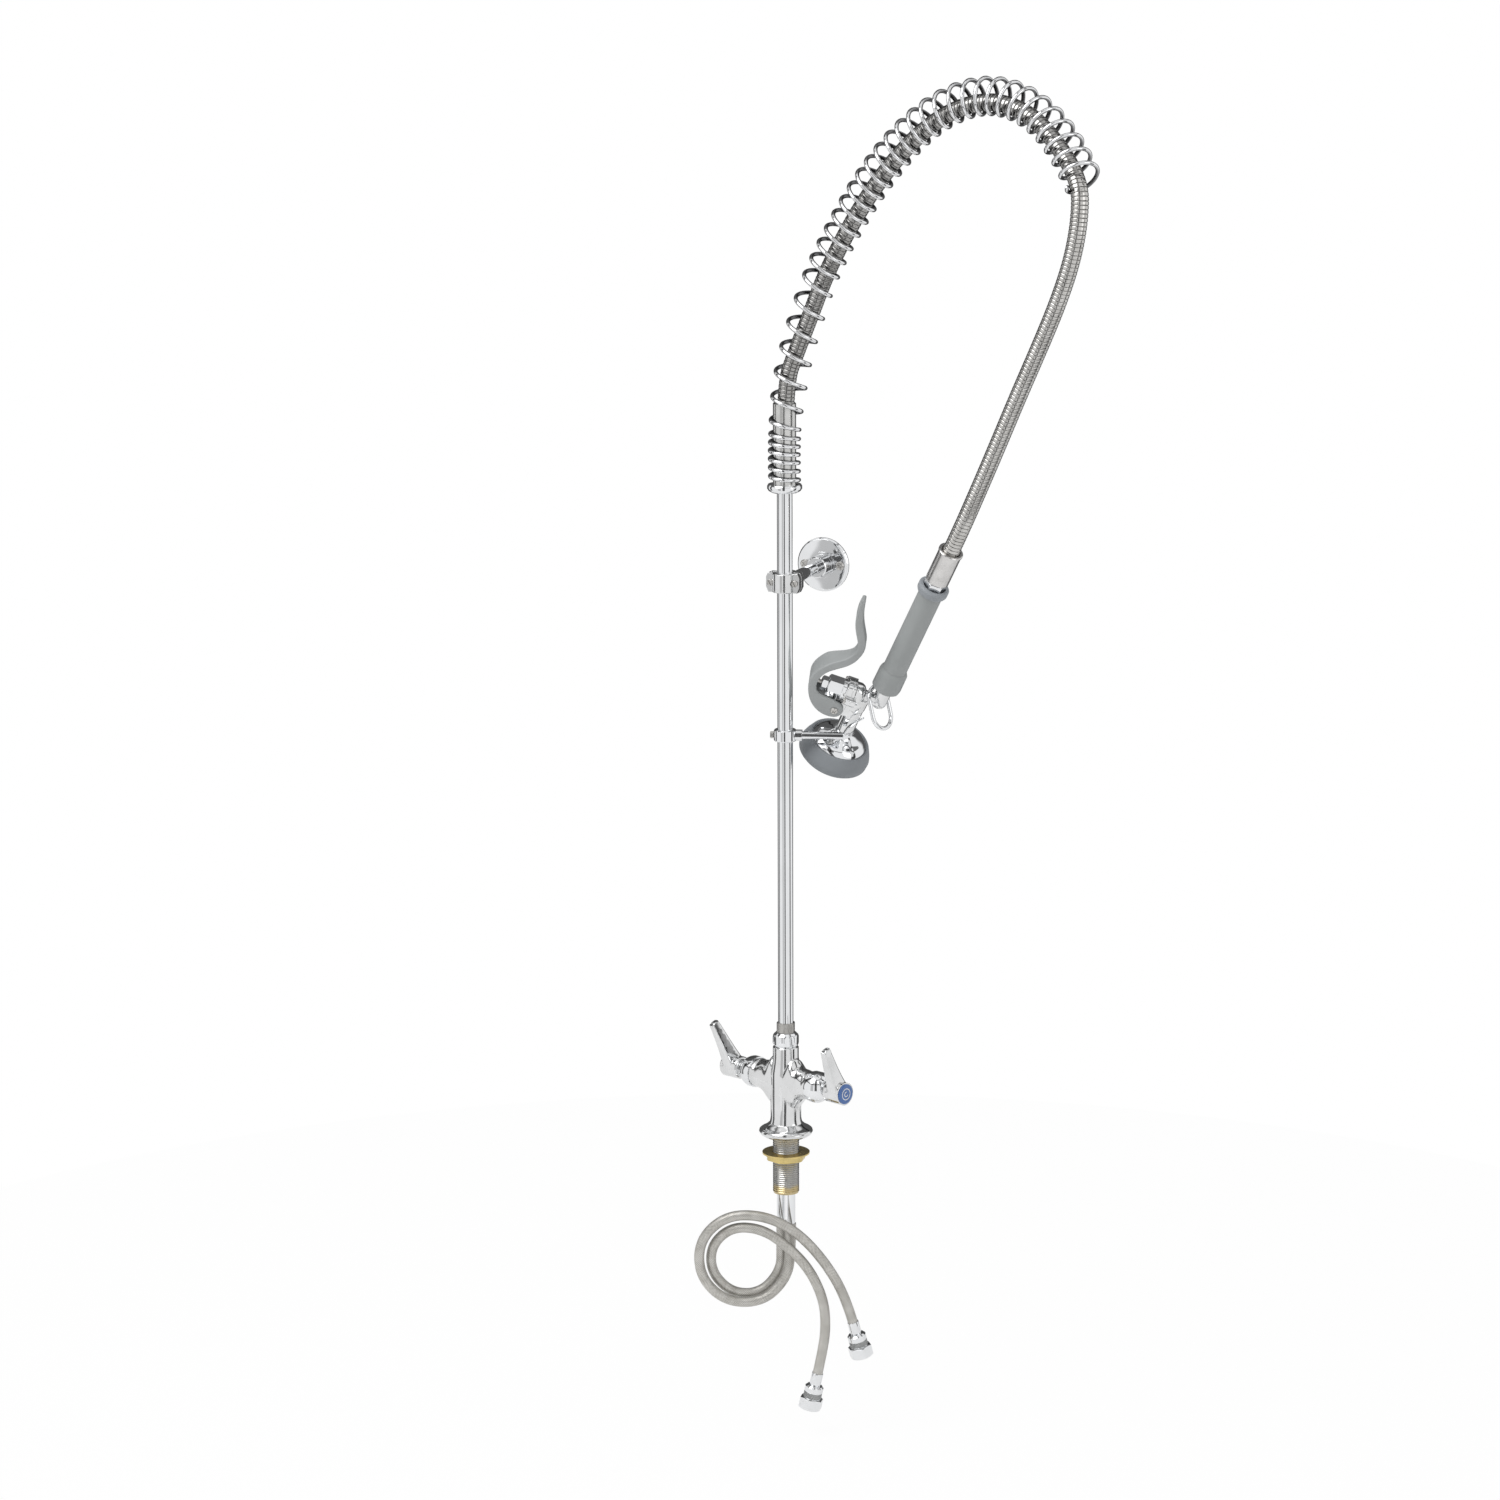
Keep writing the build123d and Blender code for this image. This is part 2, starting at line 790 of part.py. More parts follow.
def finger_hook():
    """Hook rod that ends in an upturned finger."""
    path = Polyline((hook_rod_start, 0, 0), (hook_reach, 0, 0))
    path += RadiusArc((hook_reach, 0, 0), (hook_reach + hook_bend, 0, hook_bend), -hook_bend)
    top = hook_bend + hook_tip
    path += Line((hook_reach + hook_bend, 0, hook_bend), (hook_reach + hook_bend, 0, top))
    start = Plane(origin=(hook_rod_start, 0, 0), z_dir=(1, 0, 0))
    hook = sweep(start * Circle(hook_rod_d / 2), path=path)
    return hook + Pos(hook_reach + hook_bend, 0, top) * Sphere(hook_rod_d / 2)


# ---- overhead spring and spray hose


def spring_nut():
    """Nut on the riser that the spring stands on."""
    r = spring_nut_d / 2
    low = spring_foot_z - spring_nut_h
    bore = riser_d / 2 + seat_gap
    outline = [
        (bore, low),
        (r - 5.0, low),
        (r - 1.6, low + 1.8),
        (r, low + 4.2),
        (r, spring_foot_z - 2.0),
        (r - 1.0, spring_foot_z),
        (bore, spring_foot_z),
    ]
    return turned(outline)


def foot_ferrule():
    """Ferrule on the riser's end that holds the spray hose inside the spring."""
    r = foot_ferrule_d / 2
    bore = riser_d / 2 + seat_gap
    web = riser_top + 0.2
    hose_seat = web + foot_web_t
    outline = [
        (bore, spring_foot_z),
        (r, spring_foot_z),
        (r, foot_ferrule_top - 1.0),
        (r - 1.0, foot_ferrule_top),
        (hose_d / 2 + 0.9, foot_ferrule_top),
        (hose_d / 2 + seat_gap, foot_ferrule_top - 2.0),
        (hose_d / 2 + seat_gap, hose_seat),
        (riser_bore / 2, hose_seat),
        (riser_bore / 2, web),
        (bore, web),
    ]
    return turned(outline)


def overhead_spring():
    """Left-hand coil spring that carries the hose in an arch."""
    line = Spline(*spring_route)
    lean = Vector(0, 0, 1).cross(bearing(spring_side))
    points = []
    travelled = 0.6 * spring_wire
    turn = 0.0
    while travelled < spring_length:
        reached = min(travelled, line.length)
        along = line.tangent_at(reached / line.length)
        centre = line.position_at(reached / line.length) + along * (travelled - reached)
        across = (lean - along * lean.dot(along)).normalized()
        out = along.cross(across)
        angle = radians(360 * (coil_start + turn))
        radius = between(travelled, spring_radius)
        points.append(centre + out * (radius * cos(angle)) + across * (radius * sin(angle)))
        travelled += between(travelled, spring_pitch) / coil_points
        turn += 1 / coil_points
    path, radii = tube_route([tuple(p) for p in points], 0.49)
    print("spring points", len(points), "least radius", round(min(radii), 1))
    return swept(path, spring_wire)


def spray_hose(route):
    """Hose from the riser through the spring to the spray valve's ferrule."""
    path, radii = tube_route(route)
    print("spray hose length", round(path.length), "radii", [round(r) for r in radii])
    return swept(path, hose_d)


# ---- spray valve, modelled in its own frame


def valve_plane():
    """The frame of the spray valve: Z up the grip, X towards the lever."""
    grip = bearing(valve_bearing, valve_tilt)
    level = Vector(0, 0, 1).cross(grip).normalized()
    roll = radians(valve_roll)
    lever_side = level * cos(roll) + grip.cross(level) * sin(roll)
    return Plane(origin=grip_foot, x_dir=lever_side, z_dir=grip)


def grip_sleeve():
    """Insulating grip with a flared, faceted foot."""
    bore = grip_tube_d / 2 + seat_gap
    foot_top = grip_start + grip_base_h
    flare = [
        (0, grip_start),
        (grip_base_d / 2 - 1.0, grip_start),
        (grip_base_d / 2 + 1.0, grip_start + 2.0),
        (grip_base_d / 2 + 0.6, foot_top - 5.0),
        (grip_d / 2 + 0.2, foot_top),
        (0, foot_top),
    ]
    foot = hex_bar(grip_base_d, grip_start, foot_top, 8) & turned(flare)
    sleeve = foot + disc(grip_d / 2, grip_start + grip_base_h / 2, grip_start + grip_len)
    return sleeve - disc(bore, grip_start - 1, grip_start + grip_len + 1)


def grip_end_ring():
    """Rubber ring round the top of the grip."""
    low = grip_start + grip_len
    top = low + end_ring_h
    r = end_ring_d / 2
    bore = grip_tube_d / 2 + seat_gap
    inner = swivel_af / 2 / cos(radians(30)) + face_gap
    outline = [
        (bore, low),
        (grip_d / 2, low),
        (r - 1.0, low + 1.5),
        (r, low + 3.5),
        (r, top - 2.0),
        (r - 1.6, top),
        (inner, top),
        (inner, swivel_z - face_gap),
        (bore, swivel_z - face_gap),
    ]
    return turned(outline)


def grip_tube():
    """Water tube through the grip, from the valve body to the swivel."""
    return ring(grip_tube_d / 2, grip_tube_bore / 2, -neck_socket, grip_tube_end)


def swivel_nut():
    """Hexagonal swivel between the grip tube and the hose ferrule."""
    nut = hex_nut(swivel_af, swivel_z, swivel_top)
    nut -= disc(grip_tube_d / 2 + seat_gap, swivel_z - 1, grip_tube_end)
    return nut - disc(grip_tube_bore / 2, grip_tube_end - 1, swivel_top + 1)


def hose_ferrule():
    """Ferrule on the lower end of the spray hose."""
    low = swivel_top
    top = low + hose_ferrule_len
    r = hose_ferrule_d / 2
    grip = hose_d / 2 + seat_gap
    outline = [
        (grip_tube_bore / 2, low),
        (r - 1.4, low),
        (r - 0.2, low + 1.6),
        (r - 0.2, top - 3.0),
        (r + 0.6, top - 2.4),
        (r + 0.6, top - 0.8),
        (r - 0.4, top),
        (grip + 1.2, top),
        (grip, top - 2.0),
        (grip, low + 4.0),
        (grip_tube_bore / 2, low + 4.0),
    ]
    return turned(outline)


def valve_body():
    """Cast valve body: neck under the grip, elbow, bonnet chamber and upright barrel."""
    neck = neck_d / 2
    waist = waist_d / 2
    low = head_d / 2
    body = disc(neck, bonnet_z, grip_start)
    body += Pos(0, 0, bonnet_z) * Sphere(neck)
    body += rod((0, 0, bonnet_z), (head_x, 0, bonnet_z), waist)
    barrel = [
        (0, head_end),
        (low, head_end),
        (low, head_seam - 0.4),
        (low - 0.5, head_seam),
        (low + 0.7, head_seam + 0.6),
        (low + 1.2, bonnet_z),
        (0, bonnet_z),
    ]
    body += Pos(head_x, 0, 0) * turned(barrel)
    seat = bonnet_seat_d / 2
    chamber = [
        (0, head_x - 4.0),
        (waist + 0.6, head_x - 4.0),
        (seat - 3.2, head_x - 1.4),
        (seat - 1.6, head_x + 2.0),
        (seat - 1.6, bonnet_seat_x - 4.4),
        (seat, bonnet_seat_x - 3.2),
        (seat, bonnet_seat_x),
        (0, bonnet_seat_x),
    ]
    body += valve_side() * turned(chamber)
    heel_drop = bonnet_z - pivot_z + 6
    heel = Box(9, pivot_lug_w - 2, heel_drop, align=(Align.MAX, Align.CENTER, Align.MAX))
    body += Pos(bonnet_seat_x, 0, bonnet_z) * heel
    for y in (-plate_lug_spread / 2, plate_lug_spread / 2):
        body += valve_side() * Pos(y, 0, 0) * disc(plate_lug_d / 2, bonnet_seat_x - 6, bonnet_seat_x)
        web = Box(abs(y), plate_lug_d - 1, 6)
        body += valve_side() * Pos(y / 2, 0, bonnet_seat_x - 3) * web
        thread = disc(plate_screw_d / 2, bonnet_seat_x - 5, bonnet_seat_x + 1)
        body -= valve_side() * Pos(y, 0, 0) * thread
    body -= disc(grip_tube_d / 2 + seat_gap, -neck_socket, grip_start + 1)
    body -= disc(grip_tube_bore / 2, bonnet_z, 0)
    body -= rod((0, 0, bonnet_z), (head_x, 0, bonnet_z), grip_tube_bore / 2)
    body -= valve_side() * disc(chamber_d / 2, head_x - 1, bonnet_seat_x + 1)
    return body - Pos(head_x, 0, 0) * disc(head_bore / 2, head_end - 1, bonnet_z)


def valve_side():
    """The frame of the bonnet: Z along its axis towards the lever, X across."""
    return Plane(origin=(0, 0, bonnet_z), x_dir=(0, 1, 0), z_dir=(1, 0, 0))


def bonnet_plate():
    """Plate that closes the valve body and carries the trigger's pivot lug."""
    low = bonnet_seat_x
    top = low + plate_t
    plate = disc(bonnet_seat_d / 2, low, top)
    plate = chamfer(plate.edges().group_by(Axis.Z)[-1], 1.2)
    for y in (-plate_lug_spread / 2, plate_lug_spread / 2):
        plate += Pos(y, 0, 0) * disc(plate_lug_d / 2, low, top - 2)
        plate += Pos(y / 2, 0, (low + top) / 2 - 1) * Box(abs(y), plate_lug_d - 1, plate_t - 2)
    plate = valve_side() * plate
    drop = bonnet_z - pivot_z + 6
    heel = Box(plate_t - 1, pivot_lug_w, drop, align=(Align.MIN, Align.CENTER, Align.MAX))
    plate += Pos(low, 0, bonnet_z) * heel
    lug = Plane(origin=(pivot_x, 0, pivot_z), z_dir=(0, 1, 0)) * Cylinder(6.0, pivot_lug_w)
    plate += lug
    arm = Box(pivot_x - low, pivot_lug_w, 12, align=(Align.MIN, Align.CENTER, Align.CENTER))
    plate += Pos(low, 0, pivot_z) * arm
    plate -= Plane(origin=(pivot_x, 0, pivot_z), z_dir=(0, 1, 0)) * Cylinder(pivot_d / 2 + seat_gap, 60)
    plate -= valve_side() * disc(bonnet_spigot_d / 2 + seat_gap, low - 1, top + 1)
    for y in (-plate_lug_spread / 2, plate_lug_spread / 2):
        plate -= valve_side() * Pos(y, 0, 0) * disc(plate_screw_d / 2 + seat_gap, low - 1, top + 1)
    return plate


def plate_screws():
    """Two screws that hold the bonnet plate on the valve body."""
    seat = bonnet_seat_x + plate_t - 2
    screws = []
    for y in (-plate_lug_spread / 2, plate_lug_spread / 2):
        screw = slot_head(3.6, 2.6)
        screw += disc(plate_screw_d / 2 - 0.1, -plate_t - 2, 0)
        screws.append(valve_side() * Pos(y, 0, seat) * screw)
    return screws


def bonnet_nut():
    """Hexagonal bonnet nut with the spigot that guides the valve stem."""
    low = bonnet_seat_x + plate_t
    bore = valve_stem_d / 2 + run_gap
    nut = ring(bonnet_nut_af / 2 + 1.5, bore, low, low + 4)
    nut += hex_nut(bonnet_nut_af, low + 3, bonnet_nut_end, 0)
    nut += disc(bonnet_spigot_d / 2, bonnet_seat_x + 1, low + 1)
    nut -= disc(packing_nut_af / 2 - 1.5, bonnet_nut_end - 6, bonnet_nut_end + 1)
    return valve_side() * (nut - disc(bore, bonnet_seat_x, bonnet_nut_end + 1))


def packing_nut():
    """Packing nut round the valve stem."""
    bore = valve_stem_d / 2 + run_gap
    nut = hex_nut(packing_nut_af, bonnet_nut_end, packing_nut_end, 0)
    nut += disc(packing_nut_af / 2 - 1.6, bonnet_nut_end - 5, bonnet_nut_end + 1)
    return valve_side() * (nut - disc(bore, bonnet_nut_end - 6, packing_nut_end + 1))


def trigger_outer(shift):
    """Outer edge of the trigger's lower fork, from the C bend down to the pivot."""
    centre = [(67.9, 14.4), (75.1, 4.1), (78.7, -7.8), (76.6, -21), (70.4, -33.6), (61.2, -42.4)]
    points = []
    for before, here, after in zip(centre, centre[1:], centre[2:]):
        along = (Vector(*after) - Vector(*before)).normalized()
        points.append((here[0] - along.Y * shift, here[1] + along.X * shift))
    return points


def web_face_x():
    """Where the inner face of the trigger's web crosses the bonnet axis."""
    inner = trigger_outer(trigger_t / 2 - web_t)
    for (x0, z0), (x1, z1) in zip(inner, inner[1:]):
        if z1 <= bonnet_z <= z0:
            return x0 + (x1 - x0) * (bonnet_z - z0) / (z1 - z0)
    return inner[-1][0]


def valve_stem():
    """Sliding stem that the trigger pushes in to open the valve."""
    tip = web_face_x() - trigger_gap
    stem = disc(valve_stem_d / 2, valve_disc_x, tip - 1)
    stem += Pos(0, 0, tip - 1) * Cone(valve_stem_d / 2, 1.4, 1, align=(Align.CENTER, Align.CENTER, Align.MIN))
    return valve_side() * stem


def squeeze_lever():
    """Trigger: long S-shaped lever that ends in a fork round the bonnet nuts."""
    half = trigger_t / 2
    tip = trigger_tip
    outer = Spline(
        (66.0, tip), (66.4, tip * 0.95), (65.6, tip * 0.855), (62.0, tip * 0.71), (55.3, tip * 0.574),
        (49.9, tip * 0.472), (48.8, tip * 0.4), (51.6, 34.4), (60.2, 25.6), (71.5, 17.0), (79.3, 6.0),
        (83.4, -8.0), (80.6, -23.4), (73.0, -38.0), (62.6, -47.2), (52.0, -50.8), (44.0, -50.6),
    )
    inner = Spline(
        (45.0, -28.6), (52.0, -27.4), (62.0, -26.4), (69.4, -23.4), (73.4, -16.0), (73.8, -7.6),
        (71.0, 2.2), (64.4, 11.0), (53.8, 19.0), (44.8, 28.6), (40.6, tip * 0.374), (41.2, tip * 0.49),
        (46.4, tip * 0.604), (53.4, tip * 0.733), (58.4, tip * 0.871), (60.4, tip * 0.95), (61.6, tip),
    )
    end = ThreePointArc(inner @ 1, (63.8, tip + 2.2), outer @ 0)
    pivot_end = ThreePointArc(outer @ 1, (pivot_x - 9.6, pivot_z + 0.6), inner @ 0)
    face = Plane.XZ * make_face([outer, end, inner, pivot_end])
    fork = trigger_fork_w / 2
    lever = extrude(face, fork, both=True)
    front = Polygon(
        (-fork, -60),
        (-fork, 14),
        (-trigger_w / 2, 36),
        (-trigger_w / 2, tip * 0.8),
        (-trigger_w / 3, tip + 4),
        (trigger_w / 3, tip + 4),
        (trigger_w / 2, tip * 0.8),
        (trigger_w / 2, 36),
        (fork, 14),
        (fork, -60),
        align=None,
    )
    lever = lever & extrude(Plane.YZ * front, 120, dir=(1, 0, 0))
    rims = [e for e in lever.edges() if e.geom_type == GeomType.BSPLINE and abs(e.center().Y) > trigger_w / 3]
    lever = fillet(rims, trigger_round)
    web = trigger_outer(half - web_t)
    hollow = make_face(Plane.XZ * Polyline((20, -70), (57, -60), *reversed(web), (66, 12), (20, 12), close=True))
    lever -= extrude(hollow, cheek_gap / 2, both=True)
    return lever - Plane(origin=(pivot_x, 0, pivot_z), z_dir=(0, 1, 0)) * Cylinder(pivot_d / 2 + run_gap, 60)


def pivot_screw():
    """Screw that the trigger turns on."""
    fork = trigger_fork_w / 2
    screw = Plane(origin=(pivot_x, fork + 0.2, pivot_z), z_dir=(0, 1, 0)) * cross_head(pivot_head_d / 2, pivot_head_t)
    screw += rod((pivot_x, -fork - 0.2, pivot_z), (pivot_x, fork + 0.3, pivot_z), pivot_d / 2)
    nut = Plane(origin=(pivot_x, -fork - 0.2, pivot_z), z_dir=(0, -1, 0)) * cross_head(pivot_head_d / 2, pivot_head_t)
    return screw + nut


def spray_bell():
    """Bell of the spray head, a thin flared shell."""
    inner = head_bore / 2
    r = bell_d / 2
    outline = [
        (inner, head_end),
        (head_d / 2 + 1.2, head_end),
        (head_d / 2 + 1.2, head_end - 2.4),
        (head_d / 2 + 2.6, head_end - 4.6),
        (r - 12.0, head_end - 9.0),
        (r - 5.0, head_end - 12.4),
        (r - 1.2, bell_rim_z + 2.0),
        (r, bell_rim_z),
        (r, bell_rim_z - 8.0),
        (r - bell_wall, bell_rim_z - 8.0),
        (r - bell_wall, bell_rim_z - 1.0),
        (r - 6.0, head_end - 12.4 - bell_wall * 1.2),
        (r - 13.0, head_end - 9.0 - bell_wall * 1.2),
        (inner + 3.4, head_end - 4.6 - bell_wall),
        (inner, head_end - 4.6 - bell_wall),
    ]
    return Pos(head_x, 0, 0) * turned(outline)


def bumper_ring():
    """Rubber bumper round the bell's rim."""
    r = bell_d / 2 + seat_gap
    outline = [
        (r, bell_rim_z + 0.6),
        (bumper_top_d / 2 - 1.0, bell_rim_z + 1.2),
        (bumper_top_d / 2 + 0.4, bell_rim_z - 0.4),
        (bumper_d / 2 - 1.6, bell_rim_z - 9.0),
        (bumper_d / 2, bell_rim_z - 14.0),
        (bumper_d / 2 - 0.4, bumper_end + 2.0),
        (bumper_d / 2 - 2.4, bumper_end),
        (r - 1.0, bumper_end),
        (r - bell_wall - bumper_lap, bumper_end + 2.6),
        (r - bell_wall - bumper_lap, bell_rim_z - 8.0 - 6.0),
        (r - bell_wall - bumper_lap, bell_rim_z - 8.0 - 5.0),
        (r - bell_wall - bumper_lap + 1.0, bell_rim_z - 8.2 - 3.2),
        (r, bell_rim_z - 8.2 - 3.2),
    ]
    return Pos(head_x, 0, 0) * turned(outline)


def spray_face():
    """Spray plate with its rings of jets."""
    top = bell_rim_z - 8.0
    plate = disc(bell_d / 2 - seat_gap, top - face_t, top)
    for count, radius in ((6, 8.0), (12, 15.0), (18, 22.0)):
        for k in range(count):
            turn = Rot(0, 0, 360 * k / count)
            plate -= turn * Pos(radius, 0, 0) * disc(spray_hole_d / 2, top - face_t - 1, top + 1)
    plate -= disc(face_screw_d / 2 + seat_gap, top - face_t - 1, top + 1)
    return Pos(head_x, 0, 0) * plate


def face_screw():
    """Screw in the middle of the spray plate, with its post up to the bell."""
    seat = bell_rim_z - 8.0 - face_t
    screw = Plane(origin=(0, 0, seat), z_dir=(0, 0, -1)) * cross_head(4.0, 2.4)
    screw += disc(face_screw_d / 2, seat - 0.1, head_end - 6)
    return Pos(head_x, 0, 0) * screw


def hold_ring():
    """Oval wire ring that hangs on the valve's waist."""
    at = valve_plane().from_local_coords(Vector(*ring_at))
    down = Vector(*ring_down).normalized()
    normal = Vector(*ring_normal)
    normal = (normal - down * normal.dot(down)).normalized()
    plane = Plane(origin=at + down * ring_drop, x_dir=down, z_dir=normal)
    wide = (ring_w - ring_wire) / 2
    tall = (ring_h - ring_wire) / 2
    straight = tall - wide
    path = Line((-straight, -wide), (straight, -wide))
    path += ThreePointArc((straight, -wide), (straight + wide, 0), (straight, wide))
    path += Line((straight, wide), (-straight, wide))
    path += ThreePointArc((-straight, wide), (-straight - wide, 0), (-straight, -wide))
    placed = plane * path
    return sweep(Plane(origin=placed @ 0, z_dir=placed % 0) * Circle(ring_wire / 2), path=placed)


# ---- supply hoses


def supply_hose(name, route):
    """Braided hose hanging from one supply tube."""
    path, radii = tube_route(route)
    print(name, "length", round(path.length), "radii", [round(r) for r in radii])
    return swept(path, braid_d)


def end_plane(route):
    """The frame at a hose's free end, Z pointing out of the hose."""
    a = Vector(*route[-2])
    b = Vector(*route[-1])
    return Plane(origin=b, z_dir=b - a)


def hose_crimp():
    """Crimped ferrule on the free end of a supply hose."""
    r = crimp_d / 2
    inner = braid_d / 2 + seat_gap
    outline = [
        (inner, -crimp_len + 3),
        (r, -crimp_len + 3),
        (r + 0.3, -crimp_len + 4.4),
        (r + 0.3, 0),
        (r, 3),
        (0, 3),
        (0, 0.3),
        (inner, 0.3),
    ]
    return turned(outline)


def end_collar():
    """Swivel collar below the ferrule, with a knurled band."""
    r = collar_d / 2
    low = 3.0
    outline = [
        (0, low),
        (r - 1.8, low),
        (r, low + 1.8),
        (r, low + collar_len * 0.5),
        (r - 0.6, low + collar_len * 0.5),
        (r - 0.6, low + collar_len),
        (coupling_thread_d / 2 - 3.4, low + collar_len),
        (coupling_thread_d / 2 - 3.4, low + collar_len + 3),
        (0, low + collar_len + 3),
    ]
    return turned(outline)


def coupling_nut():
    """Hexagonal coupling nut that screws onto the supply stop."""
    low = 3.0 + collar_len
    nut = hex_nut(coupling_af, low, low + coupling_len)
    nut -= disc(coupling_thread_d / 2, low + coupling_len - coupling_depth, low + coupling_len + 1)
    return nut - disc(coupling_thread_d / 2 - 3.4 + run_gap, low - 1, low + coupling_len)


def build():
    """Place and write every sub-part."""
    save("faucet_body", faucet_body())
    save("threaded_shank", threaded_shank())
    save("deck_washer", deck_washer())
    save("shank_locknut", shank_locknut())

    sides = (("hot", -1, hot_route), ("cold", 1, cold_route))
    for name, side, route in sides:
        place = arm_plane(side)
        save(f"{name}_supply_tube", supply_tube(side))
        save(f"{name}_bonnet", place * handle_bonnet())
        save(f"{name}_stem", place * handle_stem())
        save(f"{name}_lever", place * handle_lever())
        save(f"{name}_handle_screw", place * handle_screw())
        save(f"{name}_index_button", place * index_button())
        save(f"{name}_supply_hose", supply_hose(name, route))
        end = end_plane(route)
        save(f"{name}_hose_ferrule", end * hose_crimp())
        save(f"{name}_hose_collar", end * end_collar())
        save(f"{name}_coupling_nut", end * coupling_nut())

    save("riser_nut", riser_nut())
    save("lock_ring", lock_ring())
    save("riser_pipe", riser_pipe())

    bracket = bracket_plane()
    save("bracket_clamp_front", bracket * clamp_half(-1))
    save("bracket_clamp_back", bracket * clamp_half(1))
    save("bracket_clamp_screws", Compound(children=[bracket * s for s in clamp_screws()]))
    save("bracket_rod", bracket * bracket_rod())
    save("wall_flange", bracket * wall_flange())
    save("wall_screws", Compound(children=[bracket * s for s in wall_screws()]))

    hook = hook_plane()
    save("hook_collar", hook * hook_collar())
    save("hook_screw", hook * hook_screw())
    save("finger_hook", hook * finger_hook())

    save("spring_nut", spring_nut())
    save("hose_foot_ferrule", foot_ferrule())
    save("overhead_spring", overhead_spring())

    valve = valve_plane()
    last = valve.from_local_coords(Vector(0, 0, swivel_top + 4.2))
    above = valve.from_local_coords(Vector(0, 0, swivel_top + hose_ferrule_len + hose_d * 1.25))
    save("spray_hose", spray_hose(hose_route + [tuple(above), tuple(last)]))
    save("grip_sleeve", valve * grip_sleeve())
    save("grip_end_ring", valve * grip_end_ring())
    save("grip_tube", valve * grip_tube())
    save("swivel_nut", valve * swivel_nut())
    save("spray_hose_ferrule", valve * hose_ferrule())
    save("valve_body", valve * valve_body())
    save("bonnet_plate", valve * bonnet_plate())
    save("bonnet_plate_screws", Compound(children=[valve * s for s in plate_screws()]))
    save("bonnet_nut", valve * bonnet_nut())
    save("packing_nut", valve * packing_nut())
    save("valve_stem", valve * valve_stem())
    save("squeeze_lever", valve * squeeze_lever())
    save("pivot_screw", valve * pivot_screw())
    save("spray_bell", valve * spray_bell())
    save("bumper_ring", valve * bumper_ring())
    save("spray_face", valve * spray_face())
    save("spray_face_screw", valve * face_screw())
    save("hold_ring", hold_ring())


build()
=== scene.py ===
import math

import bpy
import numpy as np
from mathutils import Matrix, Vector


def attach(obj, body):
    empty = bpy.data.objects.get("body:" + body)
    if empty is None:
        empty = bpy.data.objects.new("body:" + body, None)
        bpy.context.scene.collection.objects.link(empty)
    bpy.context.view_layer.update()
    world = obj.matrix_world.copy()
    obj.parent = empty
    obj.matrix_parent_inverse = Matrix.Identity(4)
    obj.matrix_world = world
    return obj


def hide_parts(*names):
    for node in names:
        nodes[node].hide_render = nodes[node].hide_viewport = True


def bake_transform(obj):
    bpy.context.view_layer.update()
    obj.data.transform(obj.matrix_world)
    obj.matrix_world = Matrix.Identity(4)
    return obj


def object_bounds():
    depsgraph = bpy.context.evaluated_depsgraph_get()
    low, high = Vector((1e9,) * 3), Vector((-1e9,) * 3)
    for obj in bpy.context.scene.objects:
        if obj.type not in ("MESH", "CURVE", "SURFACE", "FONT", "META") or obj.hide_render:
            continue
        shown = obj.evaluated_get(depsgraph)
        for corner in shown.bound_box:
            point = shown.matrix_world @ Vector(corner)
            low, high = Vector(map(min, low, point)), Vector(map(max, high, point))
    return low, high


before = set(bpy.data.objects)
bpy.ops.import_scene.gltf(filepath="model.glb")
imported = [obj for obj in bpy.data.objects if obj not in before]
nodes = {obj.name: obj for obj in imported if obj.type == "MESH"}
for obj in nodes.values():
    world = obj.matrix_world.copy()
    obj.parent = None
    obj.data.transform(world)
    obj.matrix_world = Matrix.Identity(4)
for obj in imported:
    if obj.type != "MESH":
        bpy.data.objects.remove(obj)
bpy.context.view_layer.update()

mm = 0.001
sides = ("hot", "cold")


cameraView = {
    "turn": -46.0,          # bearing of the camera from +X
    "pitch": 12.2,          # degrees above the level
    "distance": 6.0,
    "lens": 130.3,
    "sensor": 36.0,
    "aimHeight": 0.4425,
    "aimLeft": 0.0389,      # the riser stands this far right of the middle
    "roll": -0.2,
}


def direction(turn, rise=0.0):
    a, b = math.radians(turn), math.radians(rise)
    return Vector((math.cos(a) * math.cos(b), math.sin(a) * math.cos(b), math.sin(b)))


def addCamera(v):
    outward = direction(v["turn"], v["pitch"])
    right = direction(v["turn"] + 90)
    aim = Vector((0, 0, v["aimHeight"])) - right * v["aimLeft"]
    data = bpy.data.cameras.new("camera")
    data.lens = v["lens"]
    data.sensor_width = v["sensor"]
    data.clip_end = 50
    cam = bpy.data.objects.new("camera", data)
    bpy.context.scene.collection.objects.link(cam)
    cam.location = aim + outward * v["distance"]
    look = (-outward).to_track_quat("-Z", "Y").to_matrix() @ Matrix.Rotation(math.radians(v["roll"]), 3, "Z")
    cam.rotation_euler = look.to_euler()
    bpy.context.scene.camera = cam


addCamera(cameraView)
print("camera placed")


shading = {
    "softLimit": math.cos(math.radians(34)),    # facets that meet flatter than this shade as one surface
    "weld": 0.002 * mm,                         # corners nearer than this are at one place
    "tiny": 1e-9,                               # a normal shorter than this has no direction
    "noArea": 1e-20,                            # keeps a collapsed corner from dividing by zero
}


